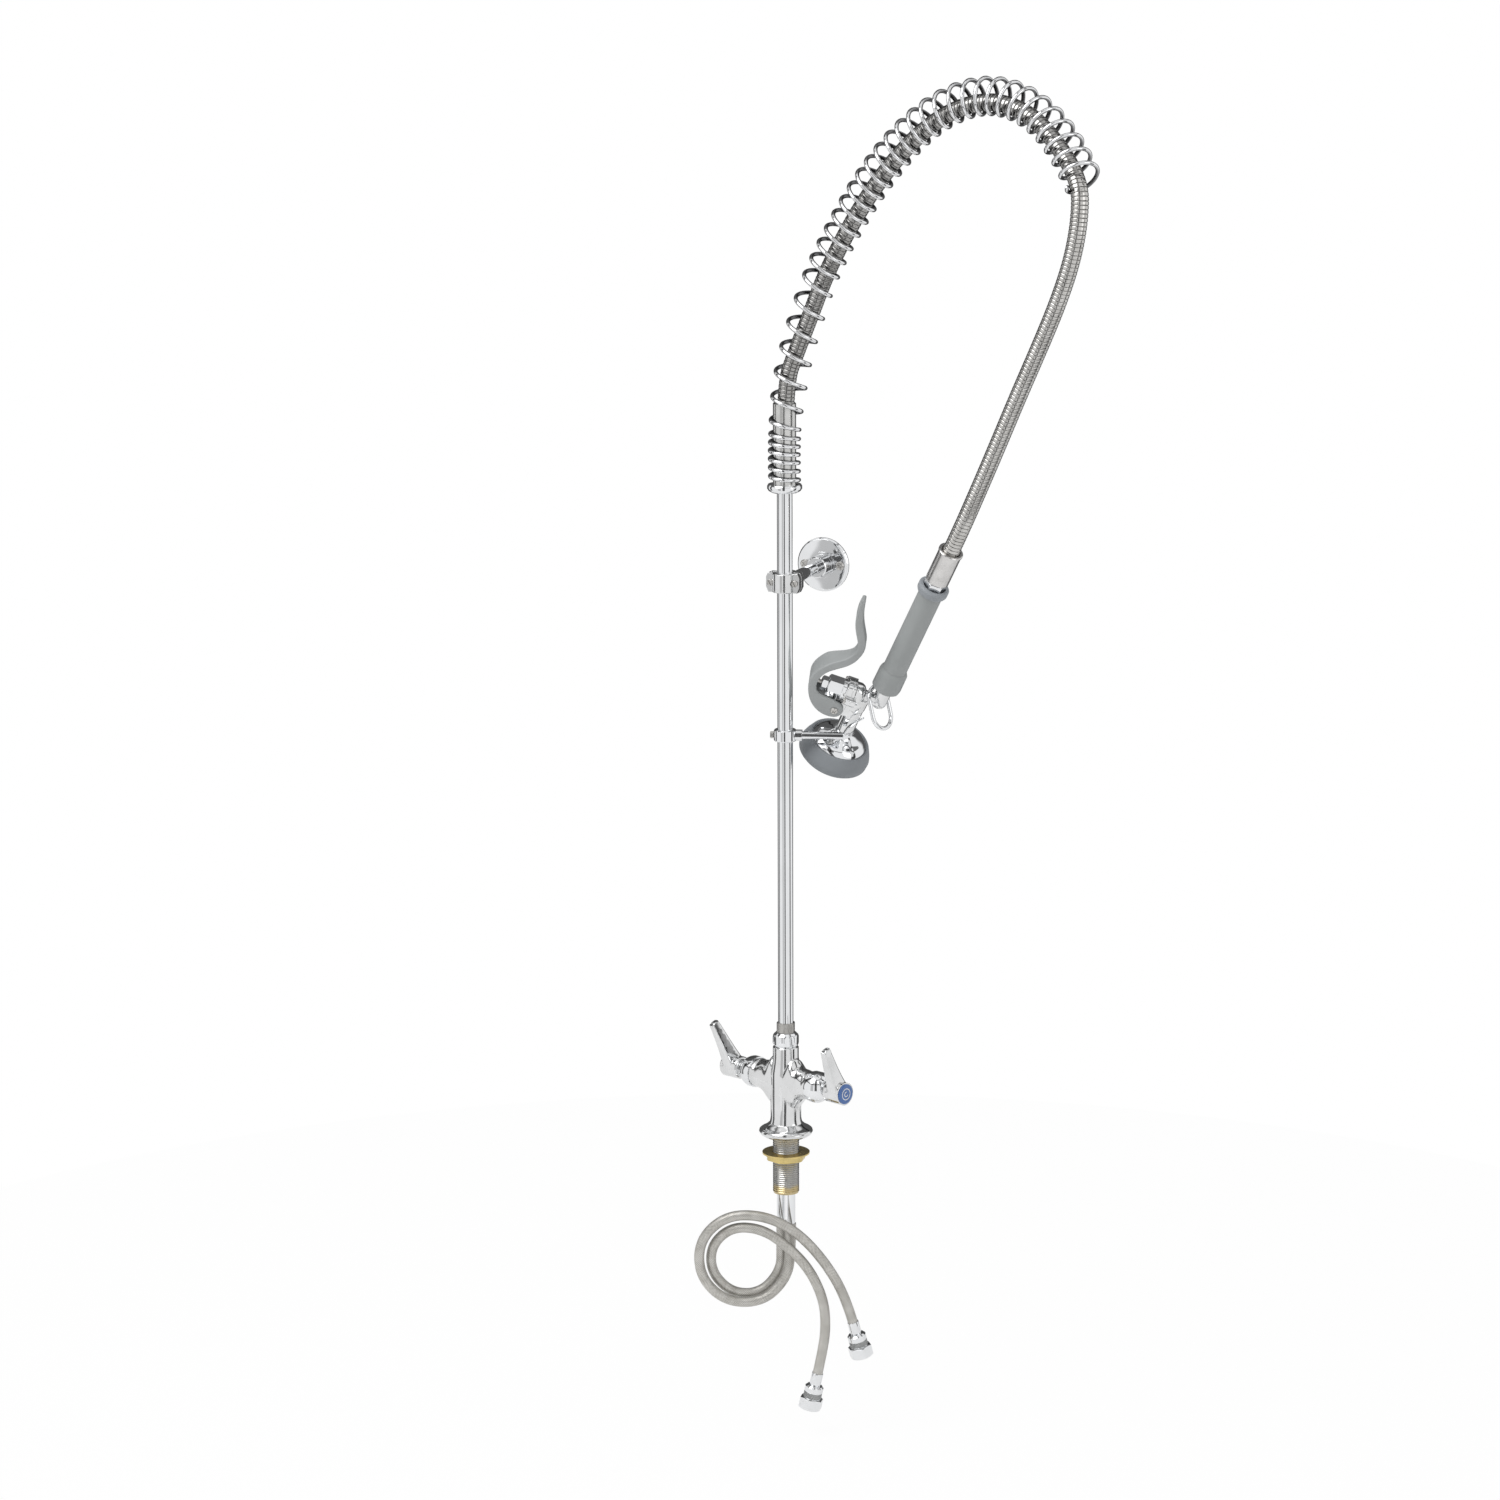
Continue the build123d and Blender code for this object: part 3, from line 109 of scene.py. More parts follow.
def softenFacets(mesh):
    # corners at the same place share one normal where their facets nearly line up
    d = shading
    loops = len(mesh.loops)
    owner = np.empty(loops, int)
    mesh.loops.foreach_get("vertex_index", owner)
    place = np.empty(len(mesh.vertices) * 3)
    mesh.vertices.foreach_get("co", place)
    corner = place.reshape(-1, 3)[owner]
    start = np.empty(len(mesh.polygons), int)
    total = np.empty(len(mesh.polygons), int)
    facet = np.empty(len(mesh.polygons) * 3)
    mesh.polygons.foreach_get("loop_start", start)
    mesh.polygons.foreach_get("loop_total", total)
    mesh.polygons.foreach_get("normal", facet)
    first, count = np.repeat(start, total), np.repeat(total, total)
    normal = np.repeat(facet.reshape(-1, 3), total, axis=0)
    step = np.arange(loops) - first
    ahead = corner[first + (step + 1) % count] - corner
    behind = corner[first + (step - 1) % count] - corner
    size = np.linalg.norm(ahead, axis=1) * np.linalg.norm(behind, axis=1) + d["noArea"]
    weight = np.arccos(np.clip((ahead * behind).sum(1) / size, -1, 1))
    welded = np.round(corner / d["weld"]).astype(np.int64)
    group = np.unique(welded, axis=0, return_inverse=True)[1].reshape(-1)
    order = np.argsort(group, kind="stable")
    members = np.bincount(group)
    begin = np.concatenate([[0], np.cumsum(members)[:-1]])
    many = members[group]
    left = np.repeat(np.arange(loops), many)
    offset = np.arange(many.sum()) - np.repeat(np.cumsum(many) - many, many)
    right = order[begin[group[left]] + offset]
    near = (normal[left] * normal[right]).sum(1) > d["softLimit"]
    share = normal[right] * (weight[right] * near)[:, None]
    mixed = np.stack([np.bincount(left, share[:, k], loops) for k in range(3)], axis=1)
    long = np.linalg.norm(mixed, axis=1)
    mixed = np.where(long[:, None] > d["tiny"], mixed / np.maximum(long, d["tiny"])[:, None], normal)
    mesh.polygons.foreach_set("use_smooth", [True] * len(mesh.polygons))
    mesh.normals_split_custom_set(mixed.tolist())


for node in nodes.values():
    if node.type == "MESH":
        softenFacets(node.data)
print("facets softened")


def routePoints(points, steps=32):
    curve = bpy.data.curves.new("route", "CURVE")
    curve.dimensions = "3D"
    spline = curve.splines.new("NURBS")
    spline.points.add(len(points) - 1)
    for place, p in zip(spline.points, points):
        place.co = (*p, 1)
    spline.order_u = 3
    spline.use_endpoint_u = True
    spline.resolution_u = steps
    holder = bpy.data.objects.new("route", curve)
    bpy.context.scene.collection.objects.link(holder)
    mesh = bpy.data.meshes.new_from_object(holder)
    line = np.array([v.co[:] for v in mesh.vertices])
    bpy.data.objects.remove(holder)
    bpy.data.meshes.remove(mesh)
    return line


def resample(line, step):
    far = np.concatenate([[0], np.cumsum(np.linalg.norm(np.diff(line, axis=0), axis=1))])
    count = max(2, int(round(far[-1] / step)) + 1)
    s = np.linspace(0, far[-1], count)
    return np.stack([np.interp(s, far, line[:, k]) for k in range(3)], axis=1), s


firstSide = (0.3, 0.9, 0.1)     # any way that no tube starts along


def carriedFrames(line):
    tangent = np.gradient(line, axis=0)
    tangent /= np.linalg.norm(tangent, axis=1)[:, None]
    side = np.zeros_like(line)
    first = np.cross(tangent[0], firstSide)
    side[0] = first / np.linalg.norm(first)
    for k in range(1, len(line)):
        n = side[k - 1] - tangent[k] * np.dot(side[k - 1], tangent[k])
        side[k] = n / np.linalg.norm(n)
    return tangent, side, np.cross(tangent, side)


def skin(name, grid, attributes=None, caps=True):
    rings, around = grid.shape[:2]
    verts = grid.reshape(-1, 3)
    index = np.arange(rings * around).reshape(rings, around)
    a = index[:-1]
    b = index[1:]
    quads = np.stack([a, np.roll(a, -1, 1), np.roll(b, -1, 1), b], axis=-1).reshape(-1, 4)
    faces = quads.tolist()
    if caps:
        faces.append(index[0][::-1].tolist())
        faces.append(index[-1].tolist())
    mesh = bpy.data.meshes.new(name)
    mesh.from_pydata(verts.tolist(), [], faces)
    mesh.polygons.foreach_set("use_smooth", [True] * len(mesh.polygons))
    for key, values in (attributes or {}).items():
        layer = mesh.attributes.new(key, "FLOAT", "POINT")
        layer.data.foreach_set("value", values.reshape(-1).astype(np.float32))
    mesh.update()
    piece = bpy.data.objects.new(name, mesh)
    bpy.context.scene.collection.objects.link(piece)
    return piece


def tubeGrid(line, radius, around):
    tangent, side, up = carriedFrames(line)
    angle = np.linspace(0, 2 * math.pi, around, endpoint=False)
    spoke = side[:, None, :] * np.cos(angle)[None, :, None] + up[:, None, :] * np.sin(angle)[None, :, None]
    return line[:, None, :] + spoke * radius[:, :, None]


braidedHose = {
    "diameter": 11.4 * mm,
    "strands": 15,          # each way round
    "strandPitch": 2.35 * mm,
    "relief": 0.5 * mm,
    "under": 0.5,           # height of a strand where another crosses over it
    "around": 90,
    "step": 0.48 * mm,
}

coldRoute = [
    (7.6, 0, -101), (7.6, 0, -133), (3, -1.5, -166), (-15.5, -22, -194), (-43, -54, -192.5),
    (-60.5, -78, -161), (-57, -82.5, -117), (-32, -65.5, -86), (0, -37.5, -85), (27, -11.5, -104),
    (48, 13, -141), (63, 32.5, -186), (67.5, 42, -225),
]
hotRoute = [
    (-7.6, 0, -101), (-7.6, 0, -131), (-10.5, 2.5, -161), (-26, -14, -187.5), (-46, -40.5, -186),
    (-57.5, -62, -159.5), (-51.5, -69, -125), (-29, -59, -100), (-2.5, -38.5, -101),
    (18.5, -19.5, -120), (37, -1.5, -148), (47.5, 10.8, -184), (49, 13.5, -219), (44, 10.5, -255),
    (38.5, 7, -284),
]


def inMetres(route):
    return [tuple(c * mm for c in p) for p in route]


def weave(s, angle, h):
    turns = angle[None, :] / (2 * math.pi) * h["strands"]
    along = s[:, None] / h["strandPitch"]
    a = turns + along
    b = turns - along
    over = (np.floor(a) + np.floor(b)) % 2 == 0
    crownA = np.sqrt(np.clip(1 - (2 * (a % 1) - 1) ** 2, 0, 1))
    crownB = np.sqrt(np.clip(1 - (2 * (b % 1) - 1) ** 2, 0, 1))
    low = h["under"]
    return np.maximum(crownA * np.where(over, 1.0, low), crownB * np.where(over, low, 1.0))


def makeBraidedHose(name, route):
    h = braidedHose
    line, s = resample(routePoints(inMetres(route)), h["step"])
    angle = np.linspace(0, 2 * math.pi, h["around"], endpoint=False)
    height = weave(s, angle, h)
    radius = h["diameter"] / 2 - h["relief"] * (1 - height)
    grid = tubeGrid(line, radius, h["around"])
    strand = np.broadcast_to(angle[None, :] / (2 * math.pi) * h["strands"], height.shape)
    travel = np.broadcast_to(s[:, None] / h["strandPitch"], height.shape)
    layers = {"braidHeight": height, "braidTurn": strand, "braidTravel": travel}
    return skin(name + "BraidedHose", grid, layers), line, float(s[-1])


supplyRoute = {"hot": hotRoute, "cold": coldRoute}
hoses = {name: makeBraidedHose(name, supplyRoute[name]) for name in sides}
print("supply hoses made", {n: round(h[2], 4) for n, h in hoses.items()})


knurlBand = {
    "start": 10.9 * mm,     # from the hose's end
    "length": 6.6 * mm,
    "radius": 10.35 * mm,
    "depth": 0.32 * mm,
    "rows": 44,             # teeth round the band
    "perTooth": 6,          # points round each tooth
    "steps": 28,
    "edge": 0.6 * mm,       # the ends are turned down over this length
    "edgeDrop": 0.5 * mm,
    "sharpness": 3,
}


def endFrame(route):
    a, b = Vector(route[-2]), Vector(route[-1])
    z = (b - a).normalized()
    x = z.orthogonal().normalized()
    m = Matrix((x, z.cross(x), z)).transposed().to_4x4()
    m.translation = b * mm
    return m


def makeKnurl(name, route):
    k = knurlBand
    around = k["rows"] * k["perTooth"]
    angle = np.linspace(0, 2 * math.pi, around, endpoint=False)[None, :]
    z = np.linspace(0, k["length"], k["steps"])[:, None]
    pitch = 2 * math.pi * k["radius"] / k["rows"]
    a = (angle * k["rows"] / (2 * math.pi) + z / pitch) % 1
    b = (angle * k["rows"] / (2 * math.pi) - z / pitch) % 1
    groove = np.maximum(np.abs(2 * a - 1), np.abs(2 * b - 1)) ** k["sharpness"]
    edge = np.minimum(z, k["length"] - z) / k["edge"]
    inset = np.clip(1 - edge, 0, 1) * k["edgeDrop"]
    radius = k["radius"] - k["depth"] * groove - inset
    grid = np.stack([radius * np.cos(angle), radius * np.sin(angle), k["start"] + z + 0 * angle], axis=-1)
    piece = skin(name + "KnurledBand", grid, {"grooveDepth": groove})
    piece.data.transform(endFrame(route))
    return piece


knurls = {name: makeKnurl(name, supplyRoute[name]) for name in sides}
print("knurled bands made")


ribbedHose = {
    "diameter": 19.0 * mm,
    "ribPitch": 4.3 * mm,
    "grooveWidth": 0.13,    # share of the pitch
    "grooveDepth": 0.85 * mm,
    "lap": 0.22 * mm,       # each band stands proud of the one it laps
    "around": 48,
    "stepsPerRib": 12,
    "springEnd": 0.66,      # the length that the spring covers
    "springFade": 20 * mm,
    "blendStart": (0.354, 0.076, 1.060),
    "blendEnd": (0.472, 0.076, 0.942),
}

sprayRoute = [
    (0, 0, 754.8), (0, 0, 849), (10.5, 8, 886), (23.5, 16, 925), (39, 23, 969), (59, 31, 1011.5),
    (84, 39, 1054), (113, 46, 1092.5), (146.5, 55, 1128), (185.5, 65.5, 1156), (230, 78, 1168.5),
    (275, 86.5, 1156.5), (314.5, 87, 1126.5), (351.5, 80.6, 1088.6), (354.5, 76.5, 1050),
    (348, 73, 1008), (332, 69.5, 962), (310, 65, 912), (285.5, 60, 859), (263, 54, 806), (242, 48, 757),
]

# the spray valve's own frame: Z up its grip, X towards the lever
valveFrame = {
    "origin": Vector((0.0880, 0.0669, 0.5128)),
    "up": direction(-10.2, 90 - 34.4),
    "roll": 143.0,
    "hoseSeat": 168.2 * mm,
    "hoseAbove": 231.75 * mm,
}


def valveAxes(v):
    level = Vector((0, 0, 1)).cross(v["up"]).normalized()
    r = math.radians(v["roll"])
    lever = level * math.cos(r) + v["up"].cross(level) * math.sin(r)
    return lever, v["up"].cross(lever), v["up"]


leverWay, sideWay, gripWay = valveAxes(valveFrame)


def inValve(x, y, z):
    return valveFrame["origin"] + leverWay * x + sideWay * y + gripWay * z


def makeRibbedHose():
    r = ribbedHose
    route = inMetres(sprayRoute) + [tuple(inValve(0, 0, valveFrame[k])) for k in ("hoseAbove", "hoseSeat")]
    line, s = resample(routePoints(route), r["ribPitch"] / r["stepsPerRib"])
    share = (s / r["ribPitch"]) % 1
    edge = np.abs(share - 0.5) * 2
    groove = np.clip((edge - (1 - 2 * r["grooveWidth"])) / (2 * r["grooveWidth"]), 0, 1)
    groove = groove * groove * (3 - 2 * groove)
    radius = r["diameter"] / 2 - r["grooveDepth"] * groove - r["lap"] * (1 - share) * (1 - groove)
    grid = tubeGrid(line, np.repeat(radius[:, None], r["around"], 1), r["around"])
    depth = np.repeat(groove[:, None], r["around"], 1)
    # painted shadow of the spring: a mask that darkens the hose where the spring covers it, fading out past
    # the spring's end
    cover = np.clip((r["springEnd"] - s) / r["springFade"], 0, 1)
    shade = np.repeat(cover[:, None], r["around"], 1)
    return skin("ribbedSprayHose", grid, {"grooveDepth": depth, "paintedSpringShade": shade}), float(s[-1])


sprayHose, sprayLength = makeRibbedHose()
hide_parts("spray_hose")
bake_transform(sprayHose)
print("spray hose made", round(sprayLength, 4))


coilSpring = {
    "wire": 4.5 * mm,
    "length": 0.694,        # along the centre line
    "start": 0.6,           # first centre, in wire diameters up the line
    "firstTurn": 0.25,
    "leanBearing": 106.0,
    "pointsPerTurn": 60,
    "pull": math.cos(math.radians(20)),     # the wire's line runs inside the given radius
    "around": 18,
    "step": 0.5 * mm,       # along the centre line
}
springRoute = [
    (0, 0, 740), (0, 0, 790), (2, 3, 834), (9, 8, 881), (20, 15, 926), (35, 22, 971), (55, 30, 1014),
    (80, 38, 1057), (109, 45, 1096), (143, 54, 1132), (184, 65, 1160), (230, 78, 1172), (277, 87, 1160),
    (318, 88, 1130), (353, 82, 1092), (360, 80, 1084),
]
# millimetres along the centre line, with the pitch and the radius there
springPitch = [
    (0, 9.6), (20, 9.6), (30, 8.9), (54, 8.9), (70, 22.0), (84, 27.0), (222, 27.4), (240, 18.6),
    (300, 17.5), (480, 17.5), (536, 14.4), (590, 17.5), (700, 18.8),
]
springRadius = [(0, 16.9), (60, 16.9), (110, 18.9), (280, 18.9), (380, 20.4), (700, 20.4)]


def smoothThrough(points, steps=40):
    p = np.array(points, float)
    t = np.concatenate([[0], np.cumsum(np.linalg.norm(np.diff(p, axis=0), axis=1))])
    n = len(p)
    h = np.diff(t)
    a = np.eye(n)
    rhs = np.zeros((n, 3))
    for k in range(1, n - 1):
        a[k, k - 1:k + 2] = h[k - 1], 2 * (h[k - 1] + h[k]), h[k]
        rhs[k] = 6 * ((p[k + 1] - p[k]) / h[k] - (p[k] - p[k - 1]) / h[k - 1])
    bend = np.linalg.solve(a, rhs)
    out = []
    for k in range(n - 1):
        fromHere = p[k] / h[k] - bend[k] * h[k] / 6
        toNext = p[k + 1] / h[k] - bend[k + 1] * h[k] / 6
        for x in np.linspace(0, h[k], steps, endpoint=k == n - 2):
            y = h[k] - x
            out.append((bend[k] * y ** 3 + bend[k + 1] * x ** 3) / (6 * h[k]) + fromHere * y + toNext * x)
    return np.array(out)


def makeCoilSpring():
    c = coilSpring
    line, s = resample(smoothThrough(inMetres(springRoute)), c["step"])
    tangent = np.gradient(line, axis=0)
    tangent /= np.linalg.norm(tangent, axis=1)[:, None]
    lean = np.array(direction(c["leanBearing"]))
    pitchAt, pitch = np.array(springPitch).T * mm
    radiusAt, radius = np.array(springRadius).T * mm
    travelled, turn, wire, middle = c["start"] * c["wire"], 0.0, [], []
    while travelled < c["length"]:
        centre = np.array([np.interp(travelled, s, line[:, k]) for k in range(3)])
        along = np.array([np.interp(travelled, s, tangent[:, k]) for k in range(3)])
        across = lean - along * lean.dot(along)
        across /= np.linalg.norm(across)
        out = np.cross(along, across)
        angle = 2 * math.pi * (c["firstTurn"] + turn)
        r = np.interp(travelled, radiusAt, radius) * c["pull"]
        middle.append(centre)
        wire.append(centre + out * (r * math.cos(angle)) + across * (r * math.sin(angle)))
        travelled += np.interp(travelled, pitchAt, pitch) / c["pointsPerTurn"]
        turn += 1 / c["pointsPerTurn"]
    wire, middle = np.array(wire), np.array(middle)
    grid = tubeGrid(wire, np.full((len(wire), c["around"]), c["wire"] / 2), c["around"])
    inward = (middle - wire) / np.linalg.norm(middle - wire, axis=1)[:, None]
    facing = ((grid - wire[:, None, :]) * inward[:, None, :]).sum(2) / (c["wire"] / 2)
    return skin("coilSpring", grid, {"facesInward": facing})


spring = makeCoilSpring()
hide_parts("overhead_spring")
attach(spring, "riser")
print("coil spring made")


buttonMark = {
    "face": 92.3 * mm,      # from the riser's axis
    "height": 65.5 * mm,
    "lean": 26.5,           # the handle's lean towards the front
    "ringRadius": 6.2 * mm,
    "letter": 2.6 * mm,     # half the letter's height
    "letterWidth": 0.72,    # share of its height
    "line": 0.5 * mm,
    "flatness": 0.5,        # how far the line stands out, as a share of its width
    "ringPoints": 48,
    "letterPoints": 20,
    "mouth": 48,            # degrees that the C is open each way
}


def arcPoints(radius, first, last, count):
    return [(radius * math.cos(math.radians(a)), radius * math.sin(math.radians(a)))
            for a in np.linspace(first, last, count)]


def makeMark(name, side, strokes):
    b = buttonMark
    curve = bpy.data.curves.new(name, "CURVE")
    curve.dimensions = "3D"
    curve.bevel_depth = b["line"]
    curve.bevel_resolution = 3
    curve.use_fill_caps = True
    for stroke, closed in strokes:
        spline = curve.splines.new("POLY")
        spline.points.add(len(stroke) - 1)
        for place, (x, y) in zip(spline.points, stroke):
            place.co = (x, y, 0, 1)
        spline.use_cyclic_u = closed
    holder = bpy.data.objects.new(name, curve)
    bpy.context.scene.collection.objects.link(holder)
    mesh = bpy.data.meshes.new_from_object(holder)
    bpy.data.objects.remove(holder)
    piece = bpy.data.objects.new(name, mesh)
    bpy.context.scene.collection.objects.link(piece)
    outward = Vector((side, 0, 0))
    lean = math.radians(b["lean"])
    up = Vector((0, -math.sin(lean), math.cos(lean)))
    m = Matrix((up.cross(outward), up, outward)).transposed().to_4x4()
    m.translation = outward * b["face"] + Vector((0, 0, b["height"]))
    mesh.transform(m @ Matrix.Diagonal((1, 1, b["flatness"], 1)))
    return piece


def makeMarks():
    b = buttonMark
    count = b["ringPoints"]
    ring = (arcPoints(b["ringRadius"], 0, 360 * (count - 1) / count, count), True)
    tall = b["letter"]
    wide = tall * b["letterWidth"]
    letterC = [arcPoints(tall, b["mouth"], 360 - b["mouth"], b["letterPoints"])]
    letterH = [[(-wide, -tall), (-wide, tall)], [(wide, -tall), (wide, tall)], [(-wide, 0), (wide, 0)]]
    return {
        "cold": makeMark("coldMark", 1, [ring] + [(stroke, False) for stroke in letterC]),
        "hot": makeMark("hotMark", -1, [ring] + [(stroke, False) for stroke in letterH]),
    }


marks = makeMarks()
for name, piece in marks.items():
    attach(piece, name + "_handle")
print("index marks made")


class Shader:

    def __init__(self, name):
        self.material = bpy.data.materials.new(name)
        self.material.use_nodes = True
        self.tree = self.material.node_tree
        self.surface = self.tree.nodes["Principled BSDF"]
        self.place = self.add("ShaderNodeTexCoord").outputs["Object"]

    def add(self, kind, **settings):
        node = self.tree.nodes.new(kind)
        for key, value in settings.items():
            setattr(node, key, value)
        return node

    def join(self, source, target):
        self.tree.links.new(source, target)

    def put(self, socket, value):
        if isinstance(value, bpy.types.NodeSocket):
            self.join(value, socket)
        else:
            socket.default_value = value

    def math(self, operation, a, b=0.0):
        node = self.add("ShaderNodeMath", operation=operation)
        for socket, value in zip(node.inputs, (a, b)):
            self.put(socket, value)
        return node.outputs[0]

    def roundEdges(self, radius):
        node = self.add("ShaderNodeBevel", samples=6)
        node.inputs["Radius"].default_value = radius
        self.join(node.outputs[0], self.surface.inputs["Normal"])

    def stretch(self, scale, turn=(0, 0, 0)):
        node = self.add("ShaderNodeMapping")
        self.join(self.place, node.inputs["Vector"])
        node.inputs["Scale"].default_value = scale
        node.inputs["Rotation"].default_value = turn
        return node.outputs[0]

    def noise(self, scale, detail=3.0, roughness=0.55, place=None):
        node = self.add("ShaderNodeTexNoise")
        self.join(place or self.place, node.inputs["Vector"])
        node.inputs["Scale"].default_value = scale
        node.inputs["Detail"].default_value = detail
        node.inputs["Roughness"].default_value = roughness
        return node.outputs["Fac"]

    def spread(self, value, low, high, outLow, outHigh):
        node = self.add("ShaderNodeMapRange")
        node.clamp = True
        self.put(node.inputs["Value"], value)
        for key, number in (("From Min", low), ("From Max", high), ("To Min", outLow), ("To Max", outHigh)):
            node.inputs[key].default_value = number
        return node.outputs[0]

    def blend(self, share, a, b):
        node = self.add("ShaderNodeMix", data_type="RGBA")
        self.put(node.inputs[0], share)
        for socket, colour in ((node.inputs[6], a), (node.inputs[7], b)):
            self.put(socket, (*colour, 1) if isinstance(colour, tuple) else colour)
        return node.outputs[2]

    def attribute(self, name):
        return self.add("ShaderNodeAttribute", attribute_name=name).outputs["Fac"]

    def bump(self, height, strength, distance):
        node = self.add("ShaderNodeBump")
        node.inputs["Strength"].default_value = strength
        node.inputs["Distance"].default_value = distance
        self.join(height, node.inputs["Height"])
        if self.surface.inputs["Normal"].is_linked:
            self.join(self.surface.inputs["Normal"].links[0].from_socket, node.inputs["Normal"])
        self.join(node.outputs[0], self.surface.inputs["Normal"])

    def finish(self, colour, roughness, metallic=1.0):
        self.put(self.surface.inputs["Base Color"], (*colour, 1) if isinstance(colour, tuple) else colour)
        self.put(self.surface.inputs["Roughness"], roughness)
        self.surface.inputs["Metallic"].default_value = metallic
        return self.material


chromeLook = {
    "colour": (0.86, 0.87, 0.885),
    "mist": (0.80, 0.81, 0.82),         # where the plate is a little hazy
    "cast": (0.79, 0.795, 0.80),        # plate over a cast skin
    "castMist": (0.70, 0.705, 0.705),
    "polish": (0.035, 0.085),           # roughness from best to worst
    "castWaves": 0.16 * mm,
}


def chromeMaterial(name, waves, worst=None, rounding=0.35 * mm, plate=("colour", "mist")):
    c = chromeLook
    best, usual = c["polish"]
    m = Shader(name)
    m.roundEdges(rounding)
    haze = m.noise(38, 4)
    smear = m.noise(420, 2, place=m.stretch((1, 1, 0.25)))
    colour = m.blend(m.spread(haze, 0.35, 0.75, 0, 1), c[plate[0]], c[plate[1]])
    polish = m.spread(haze, 0.3, 0.7, best, worst or usual)
    rough = m.math("ADD", polish, m.spread(smear, 0.5, 0.8, 0, 0.03))
    m.bump(m.noise(26, 2), 0.5 * waves, c["castWaves"])
    m.bump(m.noise(900, 3), 0.06, 0.02 * mm)
    return m.finish(colour, rough)


def tubeChromeMaterial():
    m = Shader("tubeChrome")
    draw = m.noise(300, 3, place=m.stretch((1, 1, 0.02)))
    haze = m.noise(20, 3)
    colour = m.blend(m.spread(haze, 0.35, 0.75, 0, 1), chromeLook["colour"], chromeLook["mist"])
    rough = m.math("ADD", m.spread(draw, 0.3, 0.7, 0.03, 0.07), m.spread(haze, 0.4, 0.7, 0, 0.03))
    m.bump(draw, 0.10, 0.03 * mm)
    return m.finish(colour, rough)


def springMaterial():
    # painted shade: the wire's colour is darkened on the side that faces the hose
    m = Shader("springWire")
    drawn = m.noise(700, 3)
    haze = m.noise(60, 3)
    outer = m.blend(m.spread(haze, 0.3, 0.7, 0, 1), (0.88, 0.885, 0.90), (0.76, 0.765, 0.775))
    # painted shade: near black on the side of the wire that faces the spring's middle
    colour = m.blend(m.spread(m.attribute("facesInward"), -0.35, 0.35, 0, 1), outer, (0.16, 0.16, 0.165))
    m.bump(drawn, 0.12, 0.03 * mm)
    return m.finish(colour, m.spread(haze, 0.3, 0.7, 0.06, 0.13))


def ribbedSteelMaterial():
    m = Shader("ribbedSteel")
    groove = m.attribute("grooveDepth")
    grain = m.noise(900, 4)
    patch = m.noise(45, 3)
    band = m.blend(m.spread(patch, 0.3, 0.7, 0, 1), (0.66, 0.65, 0.63), (0.52, 0.51, 0.49))
    # painted shade: the grooves between the bands are coloured near black
    colour = m.blend(m.spread(groove, 0.15, 0.7, 0, 1), band, (0.09, 0.087, 0.083))
    # painted shadow: the hose is darkened where the spring covers it
    colour = m.blend(m.math("MULTIPLY", m.attribute("paintedSpringShade"), 0.5), colour, (0.20, 0.20, 0.20))
    rough = m.math("ADD", m.spread(grain, 0.3, 0.7, 0.13, 0.24), m.math("MULTIPLY", groove, 0.25))
    m.bump(grain, 0.15, 0.03 * mm)
    return m.finish(colour, rough)


def knurlMaterial():
    m = Shader("knurledNickel")
    groove = m.attribute("grooveDepth")
    patch = m.noise(200, 3)
    tooth = m.blend(m.spread(patch, 0.3, 0.7, 0, 1), (0.56, 0.57, 0.57), (0.44, 0.45, 0.45))
    # painted shade: the grooves between the teeth are coloured near black
    colour = m.blend(m.spread(groove, 0.1, 0.8, 0, 1), tooth, (0.14, 0.14, 0.14))
    return m.finish(colour, m.spread(patch, 0.3, 0.7, 0.24, 0.38))


def turnedMaterial(name, colour, worn, rough, axisTurn=(0, 0, 0), lines=2600, depth=0.25):
    m = Shader(name)
    rings = m.noise(1, 2, place=m.stretch((6, 6, lines), axisTurn))
    patch = m.noise(70, 4)
    tint = m.blend(m.spread(patch, 0.35, 0.7, 0, 1), colour, worn)
    finish = m.math("ADD", m.spread(rings, 0.3, 0.7, rough[0], rough[1]), m.spread(patch, 0.4, 0.8, 0, 0.08))
    m.bump(rings, depth, 0.02 * mm)
    return m.finish(tint, finish)


shankLook = {
    "nickel": (0.47, 0.465, 0.45),
    "brass": (0.64, 0.52, 0.28),
    "plateTop": -12 * mm,
    "plateFoot": -55 * mm,
}


def shankMaterial():
    k = shankLook
    m = Shader("platedShank")
    z = m.add("ShaderNodeSeparateXYZ")
    m.join(m.place, z.inputs[0])
    patch = m.noise(120, 4)
    height = m.math("ADD", z.outputs["Z"], m.spread(patch, 0.2, 0.8, -4 * mm, 4 * mm))
    top = m.spread(height, k["plateTop"], 0.0, 0, 0.55)
    foot = m.spread(height, k["plateFoot"], k["plateFoot"] - 4 * mm, 0, 0.9)
    colour = m.blend(m.math("MAXIMUM", top, foot), k["nickel"], k["brass"])
    m.bump(m.noise(800, 3), 0.2, 0.03 * mm)
    return m.finish(colour, m.spread(patch, 0.3, 0.7, 0.24, 0.38))


def plasticMaterial(name, colour, dark, rough, grain, depth, sheen=0.0):
    m = Shader(name)
    m.roundEdges(0.8 * mm)
    speck = m.noise(grain, 2)
    patch = m.noise(28, 3)
    tint = m.blend(m.spread(patch, 0.35, 0.7, 0, 1), colour, dark)
    m.bump(speck, depth, 0.05 * mm)
    m.surface.inputs["Sheen Weight"].default_value = sheen
    return m.finish(tint, m.spread(speck, 0.3, 0.7, rough[0], rough[1]), 0.0)


